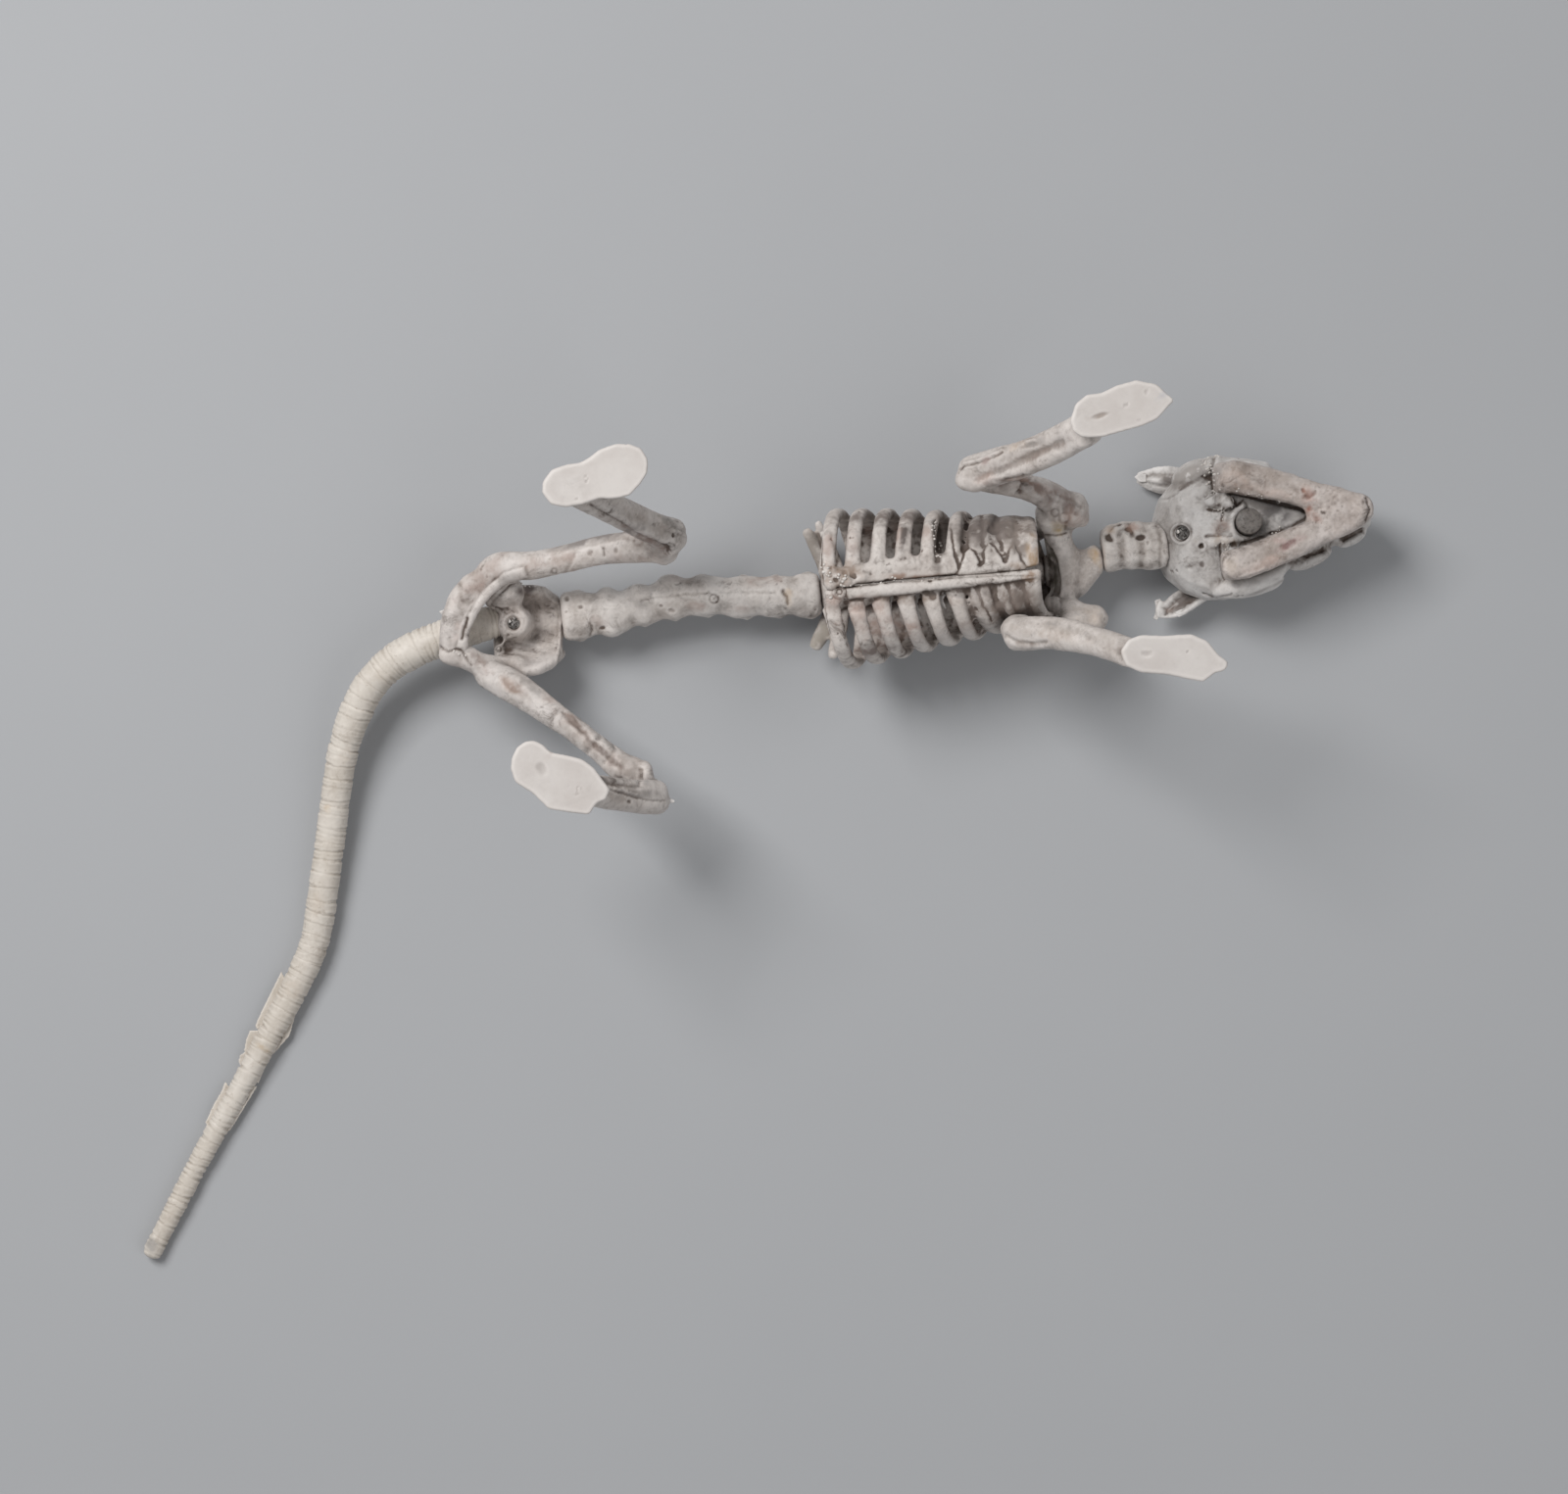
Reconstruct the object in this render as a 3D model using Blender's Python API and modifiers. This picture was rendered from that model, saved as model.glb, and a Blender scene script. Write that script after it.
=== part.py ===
"""Rat skeleton decoration in bone-coloured plastic, life size.

It lies on its back as photographed: nose towards +X, belly and soles up (+Z), the animal's right side
towards +Y, and the skull, back, pelvis and tail on the floor at Z = 0. The origin is on the floor under
the middle of the rib cage. All sizes below are in millimetres; meshes are made in metres.
"""

import math

import bmesh
import bpy
from mathutils import Matrix, Vector

MM = 0.001
GAP = 0.3  # clearance between pieces that touch
HALF_GAP = GAP / 2
SOLE_Z = 64.0  # level of the four flat soles
ANKLE_Z = 58.6  # level where each foot meets its limb
FLOOR_BITE = 0.25  # how far a resting piece is shaved flat at the floor
WELD = 1e-7  # points of a mesh nearer than this, in metres, are one
BIG = 500.0  # side of the blocks that cut a piece off at a plane, wider than the whole model
SHARP_DEGREES = 48.0  # edges steeper than this keep a crease

# The body's midline runs along X, about over Y = 0.
CAGE_REAR_X = -24.8
CAGE_FRONT_X = 27.3
NECK_REAR_X = 41.2
LUMBAR_REAR_X = -85.3
TAIL_ROOT_X = -101.2
STERNUM_REAR_Z = 39.0
STERNUM_FRONT_Z = 35.6
SPINE_Z = 11.0

BONE = ("bone_plastic", (0.66, 0.62, 0.585), 0.62, 0.0)
TAIL_BONE = ("tail_plastic", (0.67, 0.635, 0.56), 0.58, 0.0)
FOOT_BONE = ("foot_plastic", (0.7, 0.665, 0.63), 0.5, 0.0)
PEG_BONE = ("peg_plastic", (0.47, 0.41, 0.36), 0.5, 0.0)
STEEL = ("screw_steel", (0.55, 0.55, 0.56), 0.3, 1.0)


# Mesh tools

def material(kind):
    """The Principled material for a (name, colour, roughness, metallic) kind, made once."""
    name, colour, roughness, metallic = kind
    made = bpy.data.materials.get(name)
    if made is None:
        made = bpy.data.materials.new(name)
        made.use_nodes = True
        shader = made.node_tree.nodes["Principled BSDF"]
        shader.inputs["Base Color"].default_value = (*colour, 1.0)
        shader.inputs["Roughness"].default_value = roughness
        shader.inputs["Metallic"].default_value = metallic
    return made


def new_object(name, mesh):
    """A new object that holds the mesh, in the model's collection."""
    made = bpy.data.objects.new(name, mesh)
    MODEL.objects.link(made)
    return made


def from_bmesh(name, bm):
    """An object from a bmesh whose points are in millimetres."""
    bmesh.ops.recalc_face_normals(bm, faces=bm.faces)
    bmesh.ops.scale(bm, vec=(MM, MM, MM), verts=bm.verts)
    mesh = bpy.data.meshes.new(name)
    bm.to_mesh(mesh)
    bm.free()
    return new_object(name, mesh)


def smooth_rows(rows, steps):
    """Rows of numbers read along a Catmull-Rom curve through them, with so many steps in each span."""
    first = [2 * a - b for a, b in zip(rows[0], rows[1])]
    last = [2 * a - b for a, b in zip(rows[-1], rows[-2])]
    ends = [first, *rows, last]
    made = []
    for i in range(len(rows) - 1):
        before, start, end, after = ends[i:i + 4]
        for step in range(steps):
            t = step / steps
            row = []
            for b, s, e, a in zip(before, start, end, after):
                bend = (2 * b - 5 * s + 4 * e - a) * t * t + (3 * s - b - 3 * e + a) * t ** 3
                row.append(0.5 * (2 * s + (e - b) * t + bend))
            made.append(row)
    made.append(list(rows[-1]))
    return made


def bridge_rings(name, rings, tips):
    """A closed mesh through rings of equal count, ending in a tip point or, for None, a flat face."""
    bm = bmesh.new()
    made = [[bm.verts.new(point) for point in ring] for ring in rings]
    count = len(rings[0])
    for first, second in zip(made, made[1:]):
        for k in range(count):
            bm.faces.new((first[k], first[(k + 1) % count], second[(k + 1) % count], second[k]))
    for ring, tip in ((made[0], tips[0]), (made[-1], tips[1])):
        if tip is None:
            bm.faces.new(ring)
            continue
        point = bm.verts.new(tip)
        for k in range(count):
            bm.faces.new((ring[k], ring[(k + 1) % count], point))
    return from_bmesh(name, bm)


def loft(name, stations, sides=10, steps=2, shift=0.0, bulge=(0.7, 0.7), grow=0.0, square=1.0, up=(0, 0, 1)):
    """A bone shaft through stations (x, y, z, half width, half height), oval in section.

    The width lies level, square to the run. shift moves it sideways. bulge rounds each end by that share of
    the end's half height, and 0 leaves it flat. square under 1 makes the section boxier.
    """
    rows = smooth_rows([list(row) for row in stations], steps)
    rings = []
    frames = []
    for i, row in enumerate(rows):
        before = Vector(rows[max(i - 1, 0)][:3])
        after = Vector(rows[min(i + 1, len(rows) - 1)][:3])
        along = (after - before).normalized()
        side = Vector(up).cross(along).normalized()
        lift = along.cross(side)
        frames.append((Vector(row[:3]) + side * shift, along, side, lift, row[3] + grow, row[4] + grow))

    def ring(frame, offset, scale):
        centre, along, side, lift, width, height = frame
        points = []
        for k in range(sides):
            turn = 2 * math.pi * (k + 0.5) / sides
            c, s = math.cos(turn), math.sin(turn)
            across = math.copysign(abs(c) ** square, c) * width * scale
            high = math.copysign(abs(s) ** square, s) * height * scale
            points.append(centre + along * offset + side * across + lift * high)
        return points

    tips = [None, None]
    for frame in frames:
        rings.append(ring(frame, 0.0, 1.0))
    for end, sign in ((0, -1), (1, 1)):
        frame = frames[0] if end == 0 else frames[-1]
        reach = bulge[end] * frame[5]
        if reach > 0:
            shoulder = ring(frame, sign * reach * 0.62, 0.74)
            rings = [shoulder, *rings] if end == 0 else [*rings, shoulder]
            tips[end] = frame[0] + frame[1] * sign * reach
        elif grow > 0:
            flat = ring(frame, sign * grow, 1.0)
            rings = [flat, *rings] if end == 0 else [*rings, flat]
    return bridge_rings(name, rings, tips)


def ball(name, centre, radii, segments=10, rings=7, grow=0.0, turn=(0, 0, 0)):
    """An ellipsoid with its radii along X, Y and Z, then turned by the angles given in degrees."""
    bm = bmesh.new()
    bmesh.ops.create_uvsphere(bm, u_segments=segments, v_segments=rings, radius=1.0)
    scale = Matrix.Diagonal((radii[0] + grow, radii[1] + grow, radii[2] + grow, 1.0))
    spin = Matrix.Rotation(math.radians(turn[2]), 4, "Z") @ Matrix.Rotation(math.radians(turn[1]), 4, "Y")
    spin = spin @ Matrix.Rotation(math.radians(turn[0]), 4, "X")
    bmesh.ops.transform(bm, matrix=Matrix.Translation(centre) @ spin @ scale, verts=bm.verts)
    return from_bmesh(name, bm)


def turned(name, centre, profile, segments=16):
    """A round piece with an upright axis through centre, from (radius, height) points, top first."""
    bm = bmesh.new()
    points = [bm.verts.new((radius, 0.0, height)) for radius, height in profile]
    for a, b in zip(points, points[1:]):
        bm.edges.new((a, b))
    bmesh.ops.scale(bm, vec=(MM, MM, MM), verts=bm.verts)
    mesh = bpy.data.meshes.new(name)
    bm.to_mesh(mesh)
    bm.free()
    made = new_object(name, mesh)
    spin = made.modifiers.new("spin", "SCREW")
    spin.steps = segments
    spin.render_steps = segments
    spin.use_merge_vertices = True
    spin.merge_threshold = WELD
    applied(made)
    made.data.transform(Matrix.Translation((centre[0] * MM, centre[1] * MM, 0.0)))
    return made


def drum(name, centre, radius, low, high, segments=16):
    """An upright round drum from height low to high."""
    return turned(name, centre, ((0.0, high), (radius, high), (radius, low), (0.0, low)), segments)


def block(name, centre, size, turn=0.0):
    """A box of full size along X, Y and Z, turned about Z by so many degrees."""
    bm = bmesh.new()
    bmesh.ops.create_cube(bm, size=1.0)
    matrix = Matrix.Translation(centre) @ Matrix.Rotation(math.radians(turn), 4, "Z")
    bmesh.ops.transform(bm, matrix=matrix @ Matrix.Diagonal((*size, 1.0)), verts=bm.verts)
    return from_bmesh(name, bm)


def place(pieces, matrix):
    """Moves pieces made in a local frame, in millimetres, into the model's frame."""
    metres = Matrix.Diagonal((MM, MM, MM, 1.0))
    for piece in pieces:
        piece.data.transform(metres @ matrix @ metres.inverted())
    return pieces


def applied(target):
    """Swaps an object's mesh for what its modifiers make of it."""
    graph = bpy.context.evaluated_depsgraph_get()
    mesh = bpy.data.meshes.new_from_object(target.evaluated_get(graph))
    target.modifiers.clear()
    target.data = mesh
    return target


def is_closed(mesh):
    """Whether every edge of a mesh has two faces, once points that lie together are one."""
    bm = bmesh.new()
    bm.from_mesh(mesh)
    bmesh.ops.remove_doubles(bm, verts=bm.verts, dist=WELD)
    closed = len(bm.faces) > 0 and all(edge.is_manifold for edge in bm.edges)
    bm.free()
    return closed


def combine(target, others, operation):
    """One Boolean of the target with a collection of closed mesh objects, which are then removed.

    The EXACT solver does it, or MANIFOLD where that leaves an edge open.
    """
    group = bpy.data.collections.new(target.name + "_" + operation.lower())
    bpy.context.scene.collection.children.link(group)
    for other in others:
        MODEL.objects.unlink(other)
        group.objects.link(other)
    join = target.modifiers.new(operation.lower(), "BOOLEAN")
    join.operation = operation
    join.operand_type = "COLLECTION"
    join.collection = group
    for solver in ("EXACT", "MANIFOLD"):
        join.solver = solver
        graph = bpy.context.evaluated_depsgraph_get()
        mesh = bpy.data.meshes.new_from_object(target.evaluated_get(graph))
        if is_closed(mesh):
            break
    target.modifiers.clear()
    target.data = mesh
    for other in others:
        bpy.data.objects.remove(other)
    bpy.data.collections.remove(group)
    return target


def volume_of(faces):
    """The signed volume inside a closed set of triangles or polygons."""
    total = 0.0
    for face in faces:
        first = face.verts[0].co
        for a, b in zip(face.verts[1:], face.verts[2:]):
            total += first.dot(a.co.cross(b.co)) / 6
    return total


def keep_largest(target):
    """Leaves only the largest closed surface of an object."""
    bm = bmesh.new()
    bm.from_mesh(target.data)
    bmesh.ops.remove_doubles(bm, verts=bm.verts, dist=WELD)
    todo = set(bm.faces)
    shells = []
    while todo:
        front = [todo.pop()]
        shell = list(front)
        while front:
            near = {other for edge in front.pop().edges for other in edge.link_faces} & todo
            todo -= near
            shell.extend(near)
            front.extend(near)
        shells.append(shell)
    shells.sort(key=volume_of)
    for shell in shells[:-1]:
        bmesh.ops.delete(bm, geom=shell, context="FACES")
    bm.to_mesh(target.data)
    bm.free()
    return target


def fuse(name, pieces, kind=BONE):
    """One node: the pieces joined by a Boolean union, with the material and smooth shading."""
    target = pieces[0]
    target.name = name
    if len(pieces) > 1:
        combine(target, pieces[1:], "UNION")
        keep_largest(target)
    target.data.name = name
    target.data.materials.clear()
    target.data.materials.append(material(kind))
    target.data.shade_smooth()
    target.data.set_sharp_from_angle(angle=math.radians(SHARP_DEGREES))
    return target


def carve(target, cutters):
    """Cuts closed shapes out of a node."""
    combine(target, cutters, "DIFFERENCE")
    return keep_largest(target)


def half_space(point, outward):
    """A big block whose near face is the plane through the point, on the side that outward points to."""
    bm = bmesh.new()
    bmesh.ops.create_cube(bm, size=BIG)
    turn = Vector(outward).to_track_quat("Z", "Y").to_matrix().to_4x4()
    bmesh.ops.transform(bm, matrix=Matrix.Translation((0, 0, BIG / 2)), verts=bm.verts)
    bmesh.ops.transform(bm, matrix=Matrix.Translation(point) @ turn, verts=bm.verts)
    return from_bmesh("half_space", bm)


def trim(target, point, outward):
    """Cuts a node off flat at a plane, on the side that outward points to."""
    return carve(target, [half_space(point, outward)])


def rest_on_floor(target):
    """Shaves a node flat where it would reach below the floor."""
    return trim(target, (0, 0, 0), (0, 0, -1))


# Skull, in its own frame: X from the occiput to the nose, +Z the underside, -Z the crown.

SKULL_FRAME = (
    Matrix.Translation((54.9, 5.3, 12.55))
    @ Matrix.Rotation(math.radians(1.3), 4, "Z")
    @ Matrix.Rotation(math.radians(-4.0), 4, "X")
)
# Stations along the skull: x, half width, crown depth, underside height.
SKULL_SECTIONS = (
    (0.2, 6.2, -6.2, 4.4),
    (1.6, 9.9, -9.4, 6.8),
    (4.6, 13.0, -11.8, 8.3),
    (9.0, 15.2, -12.7, 8.8),
    (14.0, 15.7, -12.9, 8.8),
    (18.5, 14.0, -12.5, 8.4),
    (22.5, 10.8, -11.7, 7.6),
    (27.0, 8.6, -10.7, 7.4),
    (32.0, 8.0, -9.4, 7.8),
    (37.0, 7.2, -7.9, 7.8),
    (41.5, 6.0, -6.3, 7.2),
    (45.2, 4.9, -4.6, 6.5),
    (47.7, 3.6, -3.0, 5.6),
)
# Cheek arch: from the temple round the eye socket to the snout, in at the notch before the upper jaw.
CHEEK_ARCH = (
    (11.5, 12.6, 2.4, 2.2, 3.2),
    (17.0, 13.2, 4.0, 2.1, 3.0),
    (22.0, 12.6, 4.8, 1.6, 2.5),
    (25.6, 11.6, 5.0, 1.5, 2.3),
    (28.4, 9.2, 4.8, 1.3, 2.1),
    (33.0, 8.2, 4.2, 1.9, 2.8),
    (37.0, 5.8, 3.0, 1.7, 2.8),
)
CHEEK_RIGHT_OUT = 1.5  # how much further out the right temple stands
CHEEK_RIGHT_UNTIL = 27.0
SOCKET_CENTRE = (28.2, 11.8, -1.6)
SOCKET_RADII = (6.6, 6.9, 7.2)
PEG_CENTRE = (20.0, 0.6)
PEG_RADIUS = 3.05
PEG_FOOT = 6.6  # where the peg's well ends, in the skull's frame
SCREW_HEAD_RADIUS = 1.7
SCREW_RECESS_RADIUS = 2.05
SKULL_SCREW = (5.0, 0.4)
SKULL_RECESS_FLOOR = 7.3


def skull_core(grow=0.0):
    """Braincase and snout in one shaft."""
    stations = [
        (x, 0.0, (crown + under) / 2, width, (under - crown) / 2)
        for x, width, crown, under in SKULL_SECTIONS
    ]
    return loft("skull_core", stations, sides=16, steps=1, bulge=(0.25, 0.42), grow=grow, square=0.9)


def skull_bumps(grow=0.0):
    """The cheek arches and the ear capsules under the braincase."""
    pieces = []
    for side in (1, -1):
        arch = []
        for x, y, z, width, height in CHEEK_ARCH:
            out = CHEEK_RIGHT_OUT if side > 0 and x < CHEEK_RIGHT_UNTIL else 0.0
            arch.append((x, side * (y + out), z, width, height))
        pieces.append(loft("arch", arch, sides=8, steps=1, grow=grow))
    pieces.append(ball("bulla_right", (13.6, 6.5, 8.2), (3.2, 1.9, 2.2), 10, 6, grow, (0, 0, -8)))
    pieces.append(ball("bulla_left", (14.8, -3.0, 8.2), (3.3, 1.5, 1.9), 10, 6, grow, (0, 0, 6)))
    return pieces


def upper_incisors(grow=0.0):
    """Two curved front teeth under the nose."""
    teeth = []
    for side in (1, -1):
        incisor = (
            (44.0, side * 1.35, 3.5, 1.15, 1.3),
            (47.4, side * 1.3, 6.2, 1.1, 1.2),
            (48.0, side * 1.2, 9.8, 0.8, 0.65),
        )
        teeth.append(loft("incisor", incisor, sides=6, steps=2, bulge=(0.5, 0.3), grow=grow, up=(0, 1, 0)))
    return teeth


def eye_sockets():
    """The hollows behind the cheek arches."""
    x, y, z = SOCKET_CENTRE
    return [ball("socket", (x, side * y, z), SOCKET_RADII, 12, 8) for side in (1, -1)]


def nose_opening():
    """The nostril hollow at the end of the snout."""
    return ball("nostril", (49.1, 0.0, -0.4), (2.6, 2.2, 2.3), 8, 5)


def build_skull():
    """The skull with its sockets, nose opening, screw recess and peg well."""
    core = carve(skull_core(), [*eye_sockets(), nose_opening()])
    pieces = [core, *skull_bumps(), *upper_incisors()]
    skull = fuse("skull", place(pieces, SKULL_FRAME))
    well = drum("well", PEG_CENTRE, PEG_RADIUS + GAP, PEG_FOOT, 12.0, 18)
    recess = drum("recess", SKULL_SCREW, SCREW_RECESS_RADIUS, SKULL_RECESS_FLOOR, 12.0, 14)
    carve(skull, place([well, recess], SKULL_FRAME))
    return rest_on_floor(skull)


# Ears: side, root, tip, width and depth of the cup.
EAR_THICKNESS = 1.1
EARS = {
    "right": (1, (11.0, 12.6, -5.6), (-2.4, 16.0, -8.6), 6.6, -1.7),
    "left": (-1, (12.0, -11.2, -5.4), (-2.6, -16.6, -8.2), 7.0, -1.9),
}


def ear_shell(side, root, tip, width, cup):
    """A leaf-shaped cup on one side of the head, from root to tip, as a closed shell."""
    bm = bmesh.new()
    start, end = Vector(root), Vector(tip)
    along = (end - start).normalized()
    back = Vector((0.45, 0.25 * side, -1.0))
    across = along.cross(back).normalized() * side
    hollow = across.cross(along).normalized() * side
    rows = []
    steps, spread = 7, 5
    for i in range(steps):
        t = i / (steps - 1)
        half = width / 2 * math.sin(math.pi * (0.17 + 0.76 * t)) ** 0.8
        row = []
        for k in range(spread):
            v = 2 * k / (spread - 1) - 1
            bend = cup * (1 - v * v) * math.sin(math.pi * (0.25 + 0.6 * t))
            row.append(bm.verts.new(start.lerp(end, t) + across * half * v + hollow * bend))
        rows.append(row)
    for low, high in zip(rows, rows[1:]):
        for k in range(spread - 1):
            bm.faces.new((low[k], low[k + 1], high[k + 1], high[k]))
    shell = from_bmesh("ear", bm)
    thick = shell.modifiers.new("thick", "SOLIDIFY")
    thick.thickness = EAR_THICKNESS * MM
    thick.offset = 0.0
    return applied(shell)


def build_ear(name, side, root, tip, width, cup):
    """One ear, cut clear of the skull."""
    ear = fuse(name, place([ear_shell(side, root, tip, width, cup)], SKULL_FRAME))
    return carve(ear, place([skull_core(GAP)], SKULL_FRAME))


# Lower jaw, in the skull's frame but turned a little, as it sits in the photograph.

JAW_FRAME = (
    SKULL_FRAME
    @ Matrix.Translation((49.0, 0.0, 0.0))
    @ Matrix.Rotation(math.radians(-2.7), 4, "Z")
    @ Matrix.Translation((-49.0, -0.5, 0.0))
)
# One jaw branch: x, y, z, half width, half height.
JAW_BRANCH = (
    (13.2, 10.3, 11.4, 3.5, 2.9),
    (18.0, 9.9, 11.5, 3.9, 2.9),
    (24.0, 8.1, 11.6, 3.7, 2.7),
    (29.5, 6.4, 11.6, 3.5, 2.6),
    (35.0, 4.2, 11.6, 3.2, 2.5),
    (41.0, 2.9, 11.4, 2.7, 2.4),
    (46.0, 1.7, 11.0, 1.8, 2.0),
)


def jaw_pieces():
    """Both branches, the joint block behind each, the chin and the lower teeth."""
    pieces = []
    for side in (1, -1):
        branch = [(x, side * y, z, width, height) for x, y, z, width, height in JAW_BRANCH]
        pieces.append(loft("branch", branch, sides=8, steps=1, bulge=(0.25, 0.6), square=0.75))
        tooth = (
            (42.4, side * 1.0, 11.0, 0.95, 1.2),
            (46.0, side * 0.98, 9.9, 0.9, 0.9),
            (46.8, side * 0.9, 7.9, 0.65, 0.5),
        )
        pieces.append(loft("tooth", tooth, sides=6, steps=2, bulge=(0.5, 0.3), up=(0, 1, 0)))
    pieces.append(ball("chin", (39.9, 0.0, 11.7), (7.6, 4.1, 2.4), 10, 6))
    return pieces


def build_jaw():
    """The lower jaw, cut clear of the skull and its teeth."""
    jaw = fuse("lower_jaw", place(jaw_pieces(), JAW_FRAME))
    return carve(jaw, place([skull_core(GAP), *skull_bumps(GAP), *upper_incisors(GAP)], SKULL_FRAME))


def screw_head(name, centre, low, high, frame=None):
    """A round screw head with a cross slot."""
    head = drum(name, centre, SCREW_HEAD_RADIUS, low, high, 14)
    slots = [block("slot", (*centre, high), (2.0, 0.5, 0.8), turn) for turn in (35, 125)]
    pieces = [head, *slots]
    if frame is not None:
        place(pieces, frame)
    fuse(name, [head], STEEL)
    return carve(head, slots)


def build_head():
    """Skull, jaw, ears, palate peg and the screw behind it."""
    build_skull()
    build_jaw()
    for side, sizes in EARS.items():
        build_ear("ear_" + side, *sizes)
    foot = PEG_FOOT + GAP
    profile = ((0.0, 11.2), (PEG_RADIUS * 0.55, 11.05), (PEG_RADIUS, 10.5), (PEG_RADIUS, foot), (0.0, foot))
    fuse("palate_peg", place([turned("peg", PEG_CENTRE, profile)], SKULL_FRAME), PEG_BONE)
    screw_head("screw_skull", SKULL_SCREW, SKULL_RECESS_FLOOR + GAP, 8.5, SKULL_FRAME)


# Backbone

def bead_column(name, bodies, rear, front, waist, sides, grow=0.0):
    """A row of vertebra bodies (x, y, z, half width, half height) with waists between them."""
    reach = 0.24 * abs(bodies[1][0] - bodies[0][0])
    stations = [(rear, *bodies[0][1:3], bodies[0][3] * waist, bodies[0][4] * waist)]
    for i, (x, y, z, width, height) in enumerate(bodies):
        stations.append((x - reach, y, z, width, height))
        stations.append((x + reach, y, z, width * 0.96, height))
        if i + 1 < len(bodies):
            nx, ny, nz, nw, nh = bodies[i + 1]
            thin = (min(width, nw) * waist, min(height, nh) * waist)
            stations.append(((x + nx) / 2, (y + ny) / 2, (z + nz) / 2, *thin))
    stations.append((front, *bodies[-1][1:3], bodies[-1][3] * waist, bodies[-1][4] * waist))
    return loft(name, stations, sides=sides, steps=1, bulge=(0.0, 0.0), grow=grow, square=0.85)


def spine_blade(x, y, top, tip, lean, thick, length, grow=0.0):
    """A blade of bone from a vertebra towards the floor, leaning along the back."""
    stations = (
        (x, y, top, length, thick),
        (x + lean, y, tip, length * 0.75, thick * 0.8),
    )
    return loft("blade", stations, sides=6, steps=1, bulge=(0.0, 0.2), grow=grow, up=(0, 1, 0))


# Bodies between the pelvis and the rib cage, from the photograph's outline.
LUMBAR_BODIES = (
    (-81.6, 1.5, 10.6, 6.0, 5.0),
    (-73.4, 1.4, 10.6, 5.4, 4.9),
    (-66.4, 2.4, 10.8, 4.9, 4.8),
    (-59.2, 3.2, 11.0, 5.1, 4.7),
    (-51.4, 3.0, 11.0, 4.9, 4.6),
    (-42.6, 1.9, 11.0, 5.2, 4.6),
    (-35.0, 1.2, 11.0, 5.0, 4.6),
    (-27.6, 0.8, 11.0, 5.4, 4.6),
)


def build_lumbar():
    """The free backbone between the pelvis and the rib cage."""
    rear, front = LUMBAR_REAR_X + HALF_GAP, CAGE_REAR_X - HALF_GAP
    pieces = [bead_column("lumbar", LUMBAR_BODIES, rear, front, 0.91, 8)]
    for number, (x, y, z, width, height) in enumerate(LUMBAR_BODIES):
        tip = 1.0 + 0.25 * (number % 3)
        pieces.append(spine_blade(x + 0.8, y, z - 1.5, tip, 1.6, 1.3, 2.7))
        for side in (1, -1):
            reach = width - 0.4
            stations = (
                (x - 0.6, y + side * 2.0, z - 1.0, 1.9, 1.4),
                (x + 0.4, y + side * reach, z - 2.0, 1.5, 1.0),
            )
            pieces.append(loft("process", stations, sides=4, steps=1, bulge=(0.0, 0.8)))
    return trim(fuse("lumbar_spine", pieces), (front, 0, 0), (1, 0, 0))


CHEST_BODIES = 9
CHEST_PITCH = (CAGE_FRONT_X - CAGE_REAR_X) / CHEST_BODIES
CHEST_BLADE_LEAN = -1.75  # how far each blade leans on its way to the floor, so that one stands on the origin
CHEST_BLADE_Y = 0.4


def chest_column(grow=0.0):
    """Vertebra bodies inside the rib cage."""
    bodies = []
    for i in range(CHEST_BODIES):
        x = CAGE_REAR_X + (i + 0.5) * CHEST_PITCH
        t = i / (CHEST_BODIES - 1)
        bodies.append((x, 0.9 - 0.2 * t, SPINE_Z + 1.2 * t, 4.6 - 0.7 * t, 4.25 - 0.4 * t))
    return bead_column("chest", bodies, CAGE_REAR_X + HALF_GAP, CAGE_FRONT_X - HALF_GAP, 0.82, 8, grow)


# Short free ribs behind the cage: root x, tip x, tip y, tip z.
FREE_RIBS = (
    (-22.9, -26.7, 15.6, 10.4),
    (-22.9, -27.0, -11.6, 10.0),
    (-19.3, -23.2, -13.6, 14.0),
    (-19.2, -22.8, 14.6, 14.4),
)


def free_rib(root_x, tip_x, tip_y, tip_z):
    """A flat strap of bone from the backbone out and back to a blunt tip."""
    side = math.copysign(1.0, tip_y)
    stations = (
        (root_x, side * 2.0, 10.4, 1.4, 1.0),
        (root_x * 0.7 + tip_x * 0.3, tip_y * 0.55, 8.4, 1.4, 0.85),
        (root_x * 0.35 + tip_x * 0.65, tip_y * 0.85, tip_z * 0.45 + 4.4, 1.4, 0.8),
        (tip_x, tip_y, tip_z, 1.2, 0.75),
    )
    return loft("free_rib", stations, sides=5, steps=1, bulge=(0.0, 0.8))


def build_chest_spine():
    """The backbone inside the rib cage, with its blades down to the floor and the free ribs."""
    pieces = [chest_column()]
    for i in range(CHEST_BODIES):
        x = CAGE_REAR_X + (i + 0.5) * CHEST_PITCH
        pieces.append(spine_blade(x + 0.5, CHEST_BLADE_Y, 9.0, -FLOOR_BITE, CHEST_BLADE_LEAN, 1.25, 1.95))
    pieces.extend(free_rib(*sizes) for sizes in FREE_RIBS)
    return rest_on_floor(fuse("chest_spine", pieces))


# Rib cage

RIB_COUNT = 9
RIB_FIRST_X = -23.1
RIB_PITCH = 5.65
RIB_SLANT = 4.2  # how far each rib runs forwards from breastbone to flank, and again to the back
FLANK_Z = 21.5
SEAM_Y = 1.0  # the two sides of the cage meet here, beside the breastbone bar
PLATE_EDGE_Y = 5.6
FUSED_FROM = 6  # the front ribs, from this one on, run into one another


def flank_reach(x, side):
    """Half width of the cage at x on one side."""
    t = min(max((x + 19.0) / 43.0, 0.0), 1.0)
    rear, front = (18.9, 13.0) if side > 0 else (17.0, 10.6)
    return rear + (front - rear) * t ** 1.2


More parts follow.
